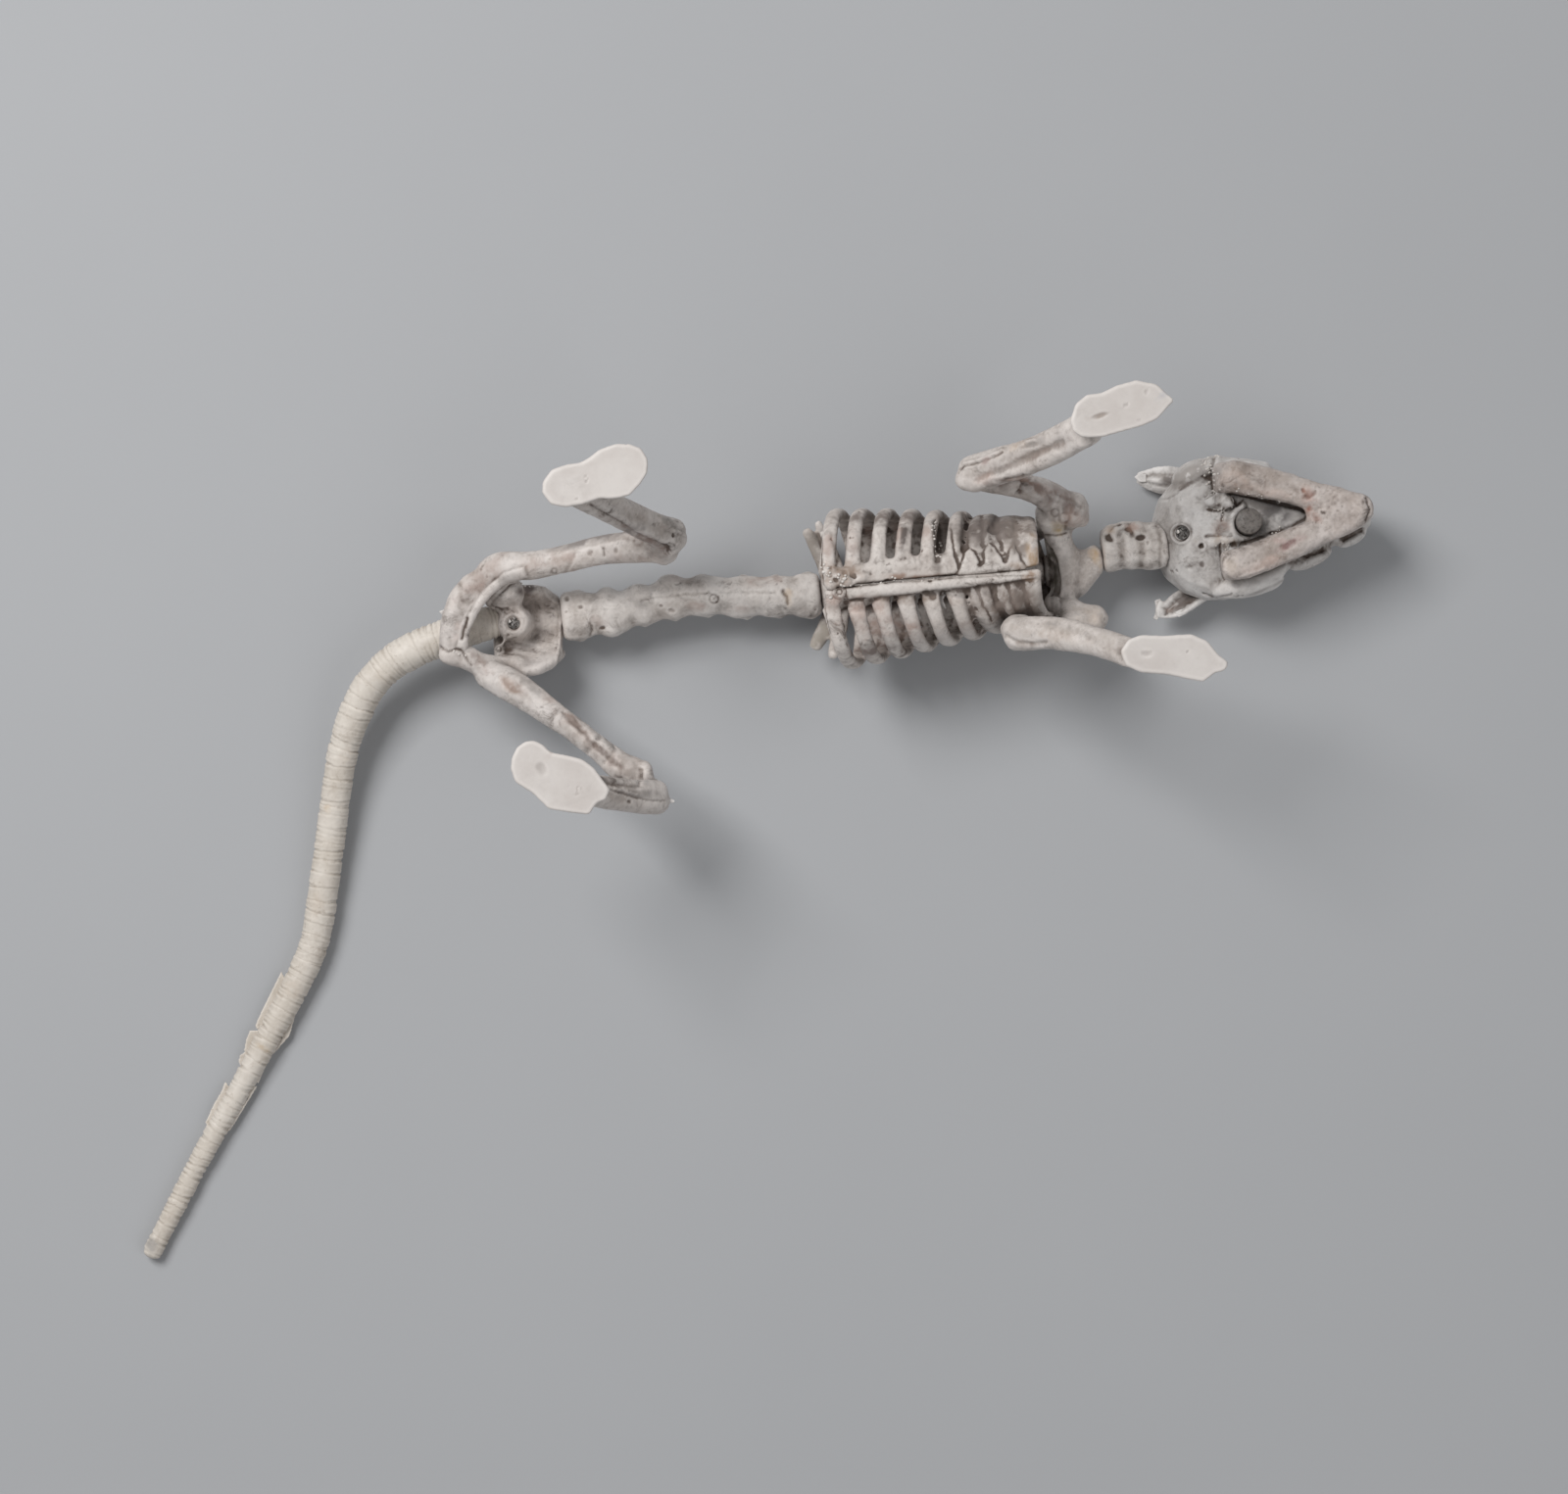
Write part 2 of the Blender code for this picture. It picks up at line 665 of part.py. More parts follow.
def breast_height(x):
    """Height of the breastbone at x: it falls a little towards the neck."""
    t = (x - CAGE_REAR_X) / (CAGE_FRONT_X - CAGE_REAR_X)
    return STERNUM_REAR_Z + (STERNUM_FRONT_Z - STERNUM_REAR_Z) * t ** 1.5


def rib(number, side):
    """One rib from the breastbone round the flank to the backbone."""
    x = RIB_FIRST_X + number * RIB_PITCH
    reach = flank_reach(x + RIB_SLANT, side)
    fused = number >= FUSED_FROM
    low = 0.5 * RIB_PITCH + 0.25 if fused else 1.6
    wide = 0.5 * RIB_PITCH + 0.2 if fused else 2.0
    slant = RIB_SLANT if number < RIB_COUNT - 1 else 1.0
    top = breast_height(x)
    shape = (
        (0.0, 1.5 / reach, top - 0.2, low, 1.1),
        (0.3, 0.66, 0.86 * top + 0.14 * FLANK_Z, low, 1.1),
        (0.85, 0.945, 0.2 * top + 0.8 * FLANK_Z, low * 0.97, 1.1),
        (1.5, 0.8, 11.6, wide, 1.0),
        (1.95, 2.8 / reach, 9.2, wide, 1.0),
    )
    stations = [(x + slant * run, side * reach * out, z, thick, width) for run, out, z, width, thick in shape]
    return loft("rib", stations, sides=6, steps=2, bulge=(0.0, 0.0), up=(1, 0, 0), square=0.8)


def breastbone_bar():
    """The raised bar along the middle of the breast, part of the left side."""
    shape = ((-23.6, -0.6, 0.2, 1.5), (-8.0, -0.7, 0.5, 1.6), (8.0, -0.7, 0.5, 1.5), (24.6, -0.5, 0.2, 1.15))
    stations = [(x, y, breast_height(x) + lift, half, half) for x, y, lift, half in shape]
    return loft("bar", stations, sides=8, steps=2, bulge=(0.4, 0.6))


def breast_plate():
    """The gristle plate that the right ribs run into."""
    middle = (SEAM_Y + PLATE_EDGE_Y) / 2
    half = (PLATE_EDGE_Y - SEAM_Y) / 2 + 0.6
    shape = ((-23.6, -0.6, 1.25), (-10.0, 0.0, 1.35), (6.0, 0.0, 1.3), (22.6, -1.2, 1.15))
    stations = [(x, middle + aside, breast_height(x) - 0.2, half + aside, thick) for x, aside, thick in shape]
    return loft("plate", stations, sides=8, steps=2, bulge=(0.4, 0.6), square=0.7)


def build_cage_side(name, side):
    """Half of the rib cage: its ribs, its share of the breastbone, cut clear of the backbone."""
    pieces = [breast_plate() if side > 0 else breastbone_bar()]
    pieces.extend(rib(number, side) for number in range(RIB_COUNT))
    cage = fuse(name, pieces)
    trim(cage, (0, SEAM_Y + side * HALF_GAP, 0), (0, -side, 0))
    trim(cage, (CAGE_FRONT_X - GAP, 0, 0), (1, 0, 0))
    return carve(cage, [chest_column(GAP)])


# Shoulders and neck

SHOULDER_Y = {1: 9.7, -1: -8.2}  # where the girdle ends on the right (1) and the left (-1)
# The arms of the girdle, for each side.
GIRDLE_ARMS = {
    1: ((32.8, 1.0, 14.2, 4.0, 3.8), (31.4, 6.0, 15.9, 3.5, 3.6), (30.6, 11.5, 17.3, 3.2, 3.6)),
    -1: ((32.8, 1.0, 14.2, 4.0, 3.8), (31.6, -3.6, 15.6, 3.5, 3.5), (30.8, -9.5, 16.9, 2.9, 3.3)),
}


def girdle_arm(side, grow=0.0):
    """The arm of the girdle that runs out to one shoulder."""
    return loft("arm", GIRDLE_ARMS[side], sides=8, steps=1, bulge=(0.3, 0.0), grow=grow)


# The web between the shoulders and the neck, widest where the arms leave it.
GIRDLE_WEB = (
    (CAGE_FRONT_X + HALF_GAP, 0.8, 11.0, 3.5, 3.6),
    (29.6, 0.7, 11.4, 4.4, 3.6),
    (32.0, 0.4, 14.4, 8.2, 3.1),
    (35.2, -0.1, 14.1, 6.2, 3.3),
    (38.2, 1.2, 13.0, 3.7, 3.5),
    (NECK_REAR_X - HALF_GAP, 3.0, 12.2, 3.1, 3.2),
)


def girdle_web(grow=0.0):
    """The middle of the girdle, from the rib cage to the neck."""
    return loft("web", GIRDLE_WEB, sides=10, steps=1, bulge=(0.0, 0.0), grow=grow)


def build_girdle():
    """The cross piece that joins the back, both shoulders and the neck."""
    pieces = [
        girdle_web(),
        girdle_arm(1),
        girdle_arm(-1),
        spine_blade(30.6, 0.8, 10.0, 0.5, -1.2, 1.5, 2.2),
        spine_blade(35.0, 1.2, 10.0, 2.6, -1.0, 1.3, 1.8),
    ]
    girdle = fuse("shoulder_girdle", pieces)
    trim(girdle, (CAGE_FRONT_X + HALF_GAP, 0, 0), (-1, 0, 0))
    trim(girdle, (NECK_REAR_X - HALF_GAP, 0, 0), (1, 0, 0))
    for side, shoulder in SHOULDER_Y.items():
        trim(girdle, (0, shoulder - side * HALF_GAP, 0), (0, side, 0))
    return girdle


NECK_FRONT_X = 56.6  # inside the skull, which the neck is cut clear of
NECK_BODIES = (
    (43.7, 4.1, 12.2, 5.3, 4.6),
    (48.3, 4.4, 12.5, 5.7, 4.9),
    (53.0, 4.0, 12.8, 5.7, 5.0),
)


def build_neck():
    """Three neck vertebrae, the last against the skull."""
    pieces = [bead_column("neck", NECK_BODIES, NECK_REAR_X + HALF_GAP, NECK_FRONT_X, 0.92, 10)]
    for x, y, z, width, height in NECK_BODIES[:2]:
        pieces.append(spine_blade(x, y, z - 2.0, 3.6, -0.8, 1.3, 1.7))
    neck = fuse("neck", pieces)
    trim(neck, (NECK_REAR_X + HALF_GAP, 0, 0), (-1, 0, 0))
    return carve(neck, place([skull_core(GAP)], SKULL_FRAME))


# Right shoulder blade, behind the ribs: x, y, z, half thickness, half breadth.
BLADE_ROWS = (
    (6.0, 9.6, 7.2, 0.8, 2.4),
    (12.0, 9.3, 7.2, 0.8, 4.2),
    (19.0, 8.9, 7.1, 0.85, 4.2),
    (25.2, 9.8, 7.4, 0.9, 2.9),
    (29.1, 11.8, 12.0, 1.8, 2.5),
    (29.7, 12.9, 17.0, 2.9, 3.0),
)
BLADE_LEAN = (0, 0.91, 0.41)  # direction of its breadth, along the back of the ribs
BLADE_LEFT_IN = 1.6  # the left blade stands this much further in


def build_shoulder_blade(name, side):
    """A thin blade behind the front ribs, with a ridge along it, ending in a knob at the shoulder."""
    lean = (BLADE_LEAN[0], side * BLADE_LEAN[1], BLADE_LEAN[2])
    inset = BLADE_LEFT_IN if side < 0 else 0.0
    blade = [(x, side * (y - inset), z, thick, broad) for x, y, z, thick, broad in BLADE_ROWS]
    ridge = [(x, side * (y - inset + 0.5), z - 1.1, 0.8, 0.6) for x, y, z, _, _ in BLADE_ROWS[:4]]
    pieces = [
        loft("blade", blade, sides=8, steps=2, bulge=(0.2, 0.4), up=lean),
        loft("ridge", ridge, sides=5, steps=1, bulge=(0.5, 0.6), up=lean),
    ]
    humerus = HUMERUS_RIGHT if side > 0 else HUMERUS_LEFT
    room = loft("room", humerus, sides=8, steps=2, bulge=(0.8, 0.7), grow=GAP)
    around = [girdle_arm(side, GAP), girdle_web(GAP), room, knob(*HUMERUS_HEADS[side], GAP)]
    return carve(fuse(name, pieces), around)


# Pelvis

PELVIS_SCREW = (-96.2, 1.2)
BOSS_TOP = 17.8
BOSS_SHAPE = ((0.0, 0.0), (3.0, 0.0), (3.9, 1.6), (4.9, 8.0), (0.0, 10.8))  # radius and fall below its top
# Outline of the hip dish: x, left edge y, right edge y.
DISH_ROWS = (
    (-85.9, -6.4, 6.0),
    (-88.0, -9.6, 8.2),
    (-91.0, -10.8, 9.0),
    (-95.0, -11.2, 9.4),
    (-99.0, -9.6, 9.0),
    (-101.6, -6.6, 6.6),
)
DISH_THICKNESS = 2.3


def hip_dish():
    """The hollow plate of sacrum and hip wings, its sides curling up towards the belly."""
    bm = bmesh.new()
    rows = []
    spread = 8
    for x, left, right in DISH_ROWS:
        row = []
        for k in range(spread):
            y = left + (right - left) * k / (spread - 1)
            rise = 0.085 * (y - 1.0) ** 2 + 0.10 * (LUMBAR_REAR_X - x)
            row.append(bm.verts.new((x, y, 7.4 + rise)))
        rows.append(row)
    for low, high in zip(rows, rows[1:]):
        for k in range(spread - 1):
            bm.faces.new((low[k], low[k + 1], high[k + 1], high[k]))
    shell = from_bmesh("dish", bm)
    thick = shell.modifiers.new("thick", "SOLIDIFY")
    thick.thickness = DISH_THICKNESS * MM
    thick.offset = 0.0
    return applied(shell)


def pelvis_bars(grow=0.0):
    """Hip blocks and the bars of bone that run back from them and meet under the tail."""
    right_outer = (
        (-98.9, 12.6, 19.4, 3.0, 3.0),
        (-104.8, 10.7, 21.6, 2.6, 2.8),
        (-108.5, 6.6, 22.5, 2.5, 2.6),
        (-110.3, 2.2, 23.0, 2.4, 2.5),
        (-111.3, -3.1, 23.0, 2.3, 2.4),
    )
    right_inner = (
        (-95.0, 11.4, 20.6, 1.5, 1.7),
        (-98.1, 10.8, 22.8, 1.3, 1.5),
        (-101.3, 8.3, 24.0, 1.2, 1.5),
        (-104.7, 4.7, 24.6, 1.15, 1.4),
        (-106.9, 0.8, 24.7, 1.1, 1.4),
        (-108.2, -3.0, 24.3, 1.2, 1.4),
    )
    left_outer = (
        (-111.4, -4.9, 22.8, 2.2, 2.4),
        (-107.6, -6.6, 22.4, 2.4, 2.5),
        (-104.4, -8.2, 21.2, 2.6, 2.7),
        (-99.8, -9.6, 18.8, 3.1, 3.1),
    )
    left_inner = (
        (-107.4, -4.8, 23.6, 1.5, 1.6),
        (-104.2, -6.4, 21.6, 1.4, 1.5),
        (-100.2, -8.0, 18.6, 1.8, 1.8),
    )
    return [
        loft("ischium", right_outer, sides=8, steps=2, grow=grow),
        loft("pubis", right_inner, sides=6, steps=1, grow=grow),
        loft("ischium", left_outer, sides=8, steps=1, grow=grow),
        loft("pubis", left_inner, sides=6, steps=1, grow=grow),
        ball("hip", (-97.2, 8.8, 17.4), (4.3, 3.8, 4.3), 8, 6, grow),
        ball("hip", (-97.6, -9.2, 16.8), (4.4, 3.0, 4.0), 8, 6, grow),
    ]


def build_pelvis():
    """The pelvis with its crests on the floor and the screw boss under the tail."""
    pieces = [hip_dish(), *pelvis_bars()]
    for y in (8.3, -9.3):
        lean = math.copysign(1.0, y)
        crest = (
            (-86.9, y - lean * 2.4, 6.6, 1.3, 1.9),
            (-90.0, y - lean * 0.6, 2.1, 1.5, 2.5),
            (-93.6, y, 2.2, 1.6, 2.7),
            (-98.6, y + lean * 0.4, 8.6, 2.2, 2.8),
            (-100.2, y + lean * 0.2, 14.0, 2.6, 2.4),
        )
        pieces.append(loft("crest", crest, sides=7, steps=1, bulge=(0.5, 0.5)))
    sacrum = (
        (LUMBAR_REAR_X - HALF_GAP, 1.3, 7.9, 4.8, 2.9),
        (-93.0, 1.3, 8.2, 4.4, 2.8),
        (-101.0, 1.8, 10.6, 3.6, 2.8),
    )
    pieces.append(loft("sacrum", sacrum, sides=8, steps=1, bulge=(0.0, 0.0)))
    for number in range(3):
        x = -88.4 - 4.3 * number
        pieces.append(spine_blade(x, 1.3, 7.4, -FLOOR_BITE + 0.5 * number, 1.0, 1.4, 2.1))
    mound = [(radius, BOSS_TOP - fall) for radius, fall in BOSS_SHAPE]
    pieces.append(turned("boss", PELVIS_SCREW, mound, 14))
    pelvis = fuse("pelvis", pieces)
    trim(pelvis, (LUMBAR_REAR_X - HALF_GAP, 0, 0), (1, 0, 0))
    carve(pelvis, [tail_root_room()])
    carve(pelvis, [drum("recess", PELVIS_SCREW, SCREW_RECESS_RADIUS, BOSS_TOP - 1.4, BOSS_TOP + 2, 14)])
    screw_head("screw_pelvis", PELVIS_SCREW, BOSS_TOP - 1.4 + GAP, BOSS_TOP - 0.1)
    return rest_on_floor(pelvis)


# Tail

# Centre line of the tail: x, y, z, radius.
TAIL_LINE = (
    (TAIL_ROOT_X, 1.9, 13.0, 3.8),
    (-107.5, 0.9, 13.4, 4.1),
    (-113.8, -0.8, 13.3, 4.15),
    (-120.0, -2.6, 12.8, 4.1),
    (-126.0, -5.4, 12.0, 4.0),
    (-131.4, -9.9, 10.9, 3.9),
    (-135.6, -16.0, 9.6, 3.75),
    (-139.2, -23.6, 8.2, 3.55),
    (-141.9, -32.8, 6.6, 3.4),
    (-144.3, -42.4, 5.2, 3.4),
    (-147.2, -54.0, 4.1, 3.45),
    (-149.4, -62.6, 3.45, 3.5),
    (-152.0, -70.2, 3.1, 3.35),
    (-157.6, -79.6, 2.82, 3.15),
    (-164.6, -89.8, 2.6, 2.9),
    (-172.0, -100.6, 2.33, 2.6),
    (-181.8, -114.4, 2.15, 2.4),
    (-190.0, -126.8, 2.06, 2.3),
    (-196.6, -137.0, 1.97, 2.2),
)
TAIL_NAMES = ("tail_base", "tail_middle", "tail_end")
TAIL_CUTS = (0.0, 0.31, 0.64, 1.0)
TAIL_RINGS = 42
RING_GROOVE = 0.93  # radius in a groove, as a share of the radius on the ring
TAIL_SIDES = 8


def tail_reading():
    """The tail's centre line as closely spaced rows with the length run so far."""
    rows = smooth_rows([list(row) for row in TAIL_LINE], 12)
    run = [0.0]
    for a, b in zip(rows, rows[1:]):
        run.append(run[-1] + (Vector(b[:3]) - Vector(a[:3])).length)
    return rows, run


def tail_row(rows, run, distance):
    """The row at a distance along the tail."""
    for i in range(len(run) - 1):
        if run[i + 1] >= distance:
            t = (distance - run[i]) / (run[i + 1] - run[i])
            return [a + (b - a) * t for a, b in zip(rows[i], rows[i + 1])]
    return rows[-1]


def tail_root_room():
    """The space that the root of the tail needs in the pelvis."""
    stations = [(x, y, z, radius, radius) for x, y, z, radius in TAIL_LINE[:4]]
    return loft("room", stations, sides=TAIL_SIDES, steps=2, bulge=(0.0, 0.0), grow=GAP)


def build_tail():
    """The ringed tail in three lengths, laid down onto the floor along its far part."""
    rows, run = tail_reading()
    total = run[-1]
    pitch = total / TAIL_RINGS
    for name, start, end in zip(TAIL_NAMES, TAIL_CUTS, TAIL_CUTS[1:]):
        first, last = start * total + HALF_GAP, end * total - HALF_GAP
        places = [first]
        ring_number = math.ceil(2 * (first + 0.3 * pitch) / pitch)
        while ring_number * pitch / 2 < last - 0.3 * pitch:
            places.append(ring_number * pitch / 2)
            ring_number += 1
        places.append(last)
        stations = []
        for place_along in places:
            x, y, z, radius = tail_row(rows, run, place_along)
            phase = 0.5 + 0.5 * math.cos(2 * math.pi * place_along / pitch)
            ringed = radius * (RING_GROOVE + (1 - RING_GROOVE) * phase)
            stations.append((x, y, z, ringed, ringed))
        tip = (0.0, 0.8 if end == 1.0 else 0.0)
        length = loft(name, stations, sides=TAIL_SIDES, steps=1, bulge=tip)
        rest_on_floor(fuse(name, [length], TAIL_BONE))


# Limbs. Each shaft is stations of x, y, z, half width, half height.

FEMUR_RIGHT = (
    (-101.0, 12.4, 21.4, 3.2, 3.2),
    (-97.8, 14.0, 22.6, 3.6, 3.6),
    (-92.4, 13.6, 24.0, 3.4, 3.3),
    (-84.1, 13.9, 25.0, 3.3, 3.0),
    (-74.9, 15.4, 26.0, 3.4, 2.9),
    (-66.4, 15.3, 27.0, 3.9, 3.2),
    (-60.2, 15.4, 28.0, 4.4, 3.8),
)
SHIN_RIGHT = (
    (-57.2, 16.6, 31.6, 3.9, 3.4),
    (-61.6, 18.6, 37.6, 3.5, 3.0),
    (-66.9, 21.6, 44.4, 3.1, 2.6),
    (-72.6, 24.8, 52.4, 3.0, 2.6),
    (-77.6, 27.8, 59.4, 3.3, 2.9),
)
FEMUR_LEFT = (
    (-103.4, -10.2, 21.4, 3.3, 3.4),
    (-98.8, -12.8, 23.4, 4.0, 3.8),
    (-92.8, -17.6, 25.2, 3.6, 3.4),
    (-84.2, -25.2, 27.0, 2.9, 3.0),
    (-77.2, -31.8, 28.6, 3.1, 3.0),
    (-72.2, -36.6, 30.2, 4.0, 3.6),
)
SHIN_LEFT = (
    (-66.8, -42.2, 33.6, 3.8, 3.4),
    (-70.6, -41.8, 38.6, 3.7, 3.0),
    (-76.6, -40.3, 45.0, 3.4, 2.6),
    (-83.2, -38.0, 52.0, 3.3, 2.6),
    (-89.4, -35.4, 59.4, 3.5, 2.9),
)
HUMERUS_RIGHT = (
    (35.0, 11.6, 18.8, 4.1, 4.2),
    (32.8, 14.6, 21.0, 4.2, 4.0),
    (27.4, 18.6, 25.2, 3.3, 3.3),
    (20.8, 20.9, 29.0, 3.0, 3.1),
    (14.4, 22.8, 31.4, 3.5, 3.4),
)
FOREARM_RIGHT = (
    (11.6, 23.4, 35.0, 4.1, 3.3),
    (16.2, 24.2, 39.2, 4.1, 3.2),
    (23.0, 25.1, 45.0, 3.8, 2.9),
    (30.6, 27.2, 52.0, 3.5, 2.8),
    (38.6, 30.4, 59.6, 3.5, 3.0),
)
HUMERUS_LEFT = (
    (37.4, -11.6, 18.9, 3.6, 3.9),
    (34.2, -12.0, 20.8, 3.8, 3.8),
    (29.0, -14.2, 25.6, 3.0, 3.1),
    (22.6, -14.8, 30.0, 3.0, 3.1),
    (19.2, -14.4, 32.2, 3.2, 3.3),
)
FOREARM_LEFT = (
    (17.6, -13.6, 36.0, 3.9, 3.4),
    (22.8, -14.0, 40.2, 3.7, 3.2),
    (29.6, -15.4, 46.4, 3.3, 2.9),
    (36.6, -18.3, 53.0, 2.8, 2.8),
    (43.0, -21.6, 59.6, 2.9, 3.0),
)
# The ball at the shoulder of each side, and the knobs at each knee: centre, then radii.
HUMERUS_HEADS = {
    1: ((34.6, 14.2, 19.8), (4.4, 4.2, 4.3)),
    -1: ((35.6, -11.6, 19.2), (5.4, 3.7, 4.1)),
}
KNEE_KNOBS = {
    1: (((-59.8, 13.2, 28.6), (3.5, 2.9, 3.6)), ((-58.0, 18.0, 29.2), (3.4, 3.0, 3.7))),
    -1: (((-72.6, -39.2, 30.8), (3.4, 3.0, 3.5)), ((-69.9, -36.4, 30.8), (2.9, 2.9, 3.5))),
}
# How far each of two joined bones stands from the middle, as a share of the half width.
TWIN_SPREAD = {"shin_right": 0.42, "shin_left": 0.38, "forearm_right": 0.36, "forearm_left": 0.24}


def knob(centre, radii, grow=0.0):
    """A rounded bone end."""
    return ball("knob", centre, radii, 8, 6, grow)


def twin_shaft(stations, spread):
    """Two bones grown together side by side, with a groove between them."""
    middle = sum(row[3] for row in stations) / len(stations)
    halves = []
    for sign, flatness in ((1, 1.0), (-1, 0.9)):
        rows = [
            (x, y, z, width * (1 - spread) + 0.35, height * flatness)
            for x, y, z, width, height in stations
        ]
        halves.append(loft("shaft", rows, sides=8, steps=2, shift=sign * middle * spread))
    return halves


def joint_between(upper, lower):
    """The plane that parts two bones at their bend: its point and the direction towards the lower bone."""
    point = (Vector(upper[-1][:3]) + Vector(lower[0][:3])) / 2
    to_lower = (Vector(lower[-1][:3]) - point).normalized()
    to_upper = (Vector(upper[0][:3]) - point).normalized()
    return point, (to_lower - to_upper).normalized()


def build_limb(names, upper, lower, knobs):
    """An upper bone and a lower twin bone that meet at a flat joint, the lower one cut at ankle level."""
    point, toward = joint_between(upper, lower)
    bone = fuse(names[0], [loft("shaft", upper, sides=8, steps=2, bulge=(0.8, 0.7)), *knobs])
    trim(bone, point - toward * HALF_GAP, toward)
    twin = fuse(names[1], twin_shaft(lower, TWIN_SPREAD[names[1]]))
    trim(twin, point + toward * HALF_GAP, -toward)
    trim(twin, (0, 0, ANKLE_Z - HALF_GAP), (0, 0, 1))
    return bone


def build_limbs():
    """The four limbs down to the ankles."""
    for side, name, femur, shin in (
        (1, "right", FEMUR_RIGHT, SHIN_RIGHT),
        (-1, "left", FEMUR_LEFT, SHIN_LEFT),
    ):
        knobs = [knob(centre, radii) for centre, radii in KNEE_KNOBS[side]]
        thigh = build_limb(("femur_" + name, "shin_" + name), femur, shin, knobs)
        carve(thigh, pelvis_bars(GAP))
    for side, name, humerus, forearm in (
        (1, "right", HUMERUS_RIGHT, FOREARM_RIGHT),
        (-1, "left", HUMERUS_LEFT, FOREARM_LEFT),
    ):
        head = knob(*HUMERUS_HEADS[side])
        arm = build_limb(("humerus_" + name, "forearm_" + name), humerus, forearm, [head])
        trim(arm, (0, SHOULDER_Y[side] + side * HALF_GAP, 0), (0, -side, 0))


# Feet: the outline of each flat sole, x and y, then where the ankle stands on it and where the toes end.

FOOT_THICKNESS = 2.3
FEET = {
    "forefoot_right": (
        ((33.2, 31.6), (34.8, 35.0), (37.4, 36.7), (40.8, 36.8), (44.2, 38.1), (48.6, 38.8), (52.8, 37.5),
         (56.4, 33.6), (52.1, 29.7), (48.7, 28.6), (44.3, 27.9), (39.8, 27.1), (35.5, 27.4), (33.5, 29.0)),
        (38.6, 31.2),
        ((55.2, 33.6), (54.0, 35.8), (51.0, 37.2), (51.4, 30.9)),
    ),
    "forefoot_left": (
        ((39.0, -20.4), (41.1, -17.9), (44.0, -17.2), (49.4, -18.0), (54.8, -18.1),
         (58.3, -20.0), (60.4, -23.2), (62.5, -25.2), (61.6, -26.9), (59.3, -27.2),
         (56.5, -28.9), (53.4, -28.0), (48.5, -26.4), (43.2, -25.5), (40.0, -23.8)),
        (43.4, -21.8),
        ((61.2, -25.8), (58.6, -21.4), (56.6, -27.6), (55.0, -19.4)),
    ),
    "hindfoot_right": (
        ((-84.3, 27.3), (-83.9, 29.8), (-81.7, 32.2), (-78.4, 33.0), (-75.3, 33.1),
         (-73.2, 34.0), (-70.9, 35.5), (-67.2, 36.4), (-64.1, 36.1), (-61.6, 34.8),
         (-60.4, 32.3), (-60.8, 29.4), (-62.7, 27.0), (-65.3, 24.8), (-68.6, 24.4),
         (-72.0, 24.8), (-76.2, 23.8), (-79.7, 23.7), (-82.6, 24.6)),
        (-78.8, 28.3),
        ((-61.8, 32.4), (-62.4, 29.4), (-64.6, 26.4), (-63.0, 34.6), (-66.8, 35.6)),
    ),
    "hindfoot_left": (
        ((-97.3, -32.6), (-96.9, -30.3), (-95.5, -28.0), (-93.6, -26.9), (-91.6, -26.9), (-89.8, -28.0),
         (-88.3, -29.8), (-85.6, -30.6), (-81.5, -32.0), (-79.1, -34.2), (-76.1, -39.3), (-77.1, -41.4),
         (-79.3, -42.0), (-81.2, -44.3), (-85.0, -43.5), (-89.9, -42.2), (-93.0, -38.4), (-96.6, -35.6)),
        (-89.6, -35.0),
        ((-77.6, -39.4), (-79.0, -41.2), (-81.6, -43.2), (-80.4, -34.6), (-86.0, -42.6)),
    ),
}


def sole_plate(outline):
    """The flat sole with a rounded rim, thinning away from the tread."""
    centre = Vector((sum(x for x, _ in outline), sum(y for _, y in outline), 0.0)) / len(outline)
    rings = []
    for z, inset in ((SOLE_Z, 0.0), (SOLE_Z - 0.5, -0.15), (SOLE_Z - FOOT_THICKNESS, 0.7)):
        ring = []
        for x, y in outline:
            point = Vector((x, y, 0.0))
            inward = (centre - point).normalized()
            ring.append(point + inward * inset + Vector((0, 0, z)))
        rings.append(ring)
    return bridge_rings("sole", rings, (None, None))


def build_foot(name, outline, ankle, toes):
    """A foot: flat sole, toe bones on its upper side and the lump that meets the ankle."""
    low = SOLE_Z - FOOT_THICKNESS
    pieces = [sole_plate(outline)]
    for x, y in toes:
        knuckle = (ankle[0] * 0.45 + x * 0.55, ankle[1] * 0.45 + y * 0.55)
        toe = ((*ankle, low - 0.6, 1.3, 1.3), (*knuckle, low - 0.5, 1.15, 1.15), (x, y, low + 0.8, 0.7, 0.7))
        pieces.append(loft("toe", toe, sides=5, steps=1, bulge=(0.0, 0.7)))
    pieces.append(ball("ankle", (*ankle, low + 0.2), (3.7, 3.3, 4.4), 8, 6))
    foot = fuse(name, pieces, FOOT_BONE)
    trim(foot, (0, 0, ANKLE_Z + HALF_GAP), (0, 0, -1))
    return trim(foot, (0, 0, SOLE_Z), (0, 0, 1))


def build_feet():
    """All four feet."""
    for name, (outline, ankle, toes) in FEET.items():
        build_foot(name, outline, ankle, toes)


def clear_scene():
    """Removes whatever the scene holds."""
    for old in list(bpy.data.objects):
        bpy.data.objects.remove(old)


clear_scene()
MODEL = bpy.data.collections.new("rat_skeleton")
bpy.context.scene.collection.children.link(MODEL)
build_head()
build_neck()
build_girdle()
build_chest_spine()
build_cage_side("rib_cage_right", 1)
build_cage_side("rib_cage_left", -1)
build_shoulder_blade("shoulder_blade_right", 1)
build_shoulder_blade("shoulder_blade_left", -1)
build_lumbar()
build_pelvis()
build_tail()
build_limbs()
build_feet()
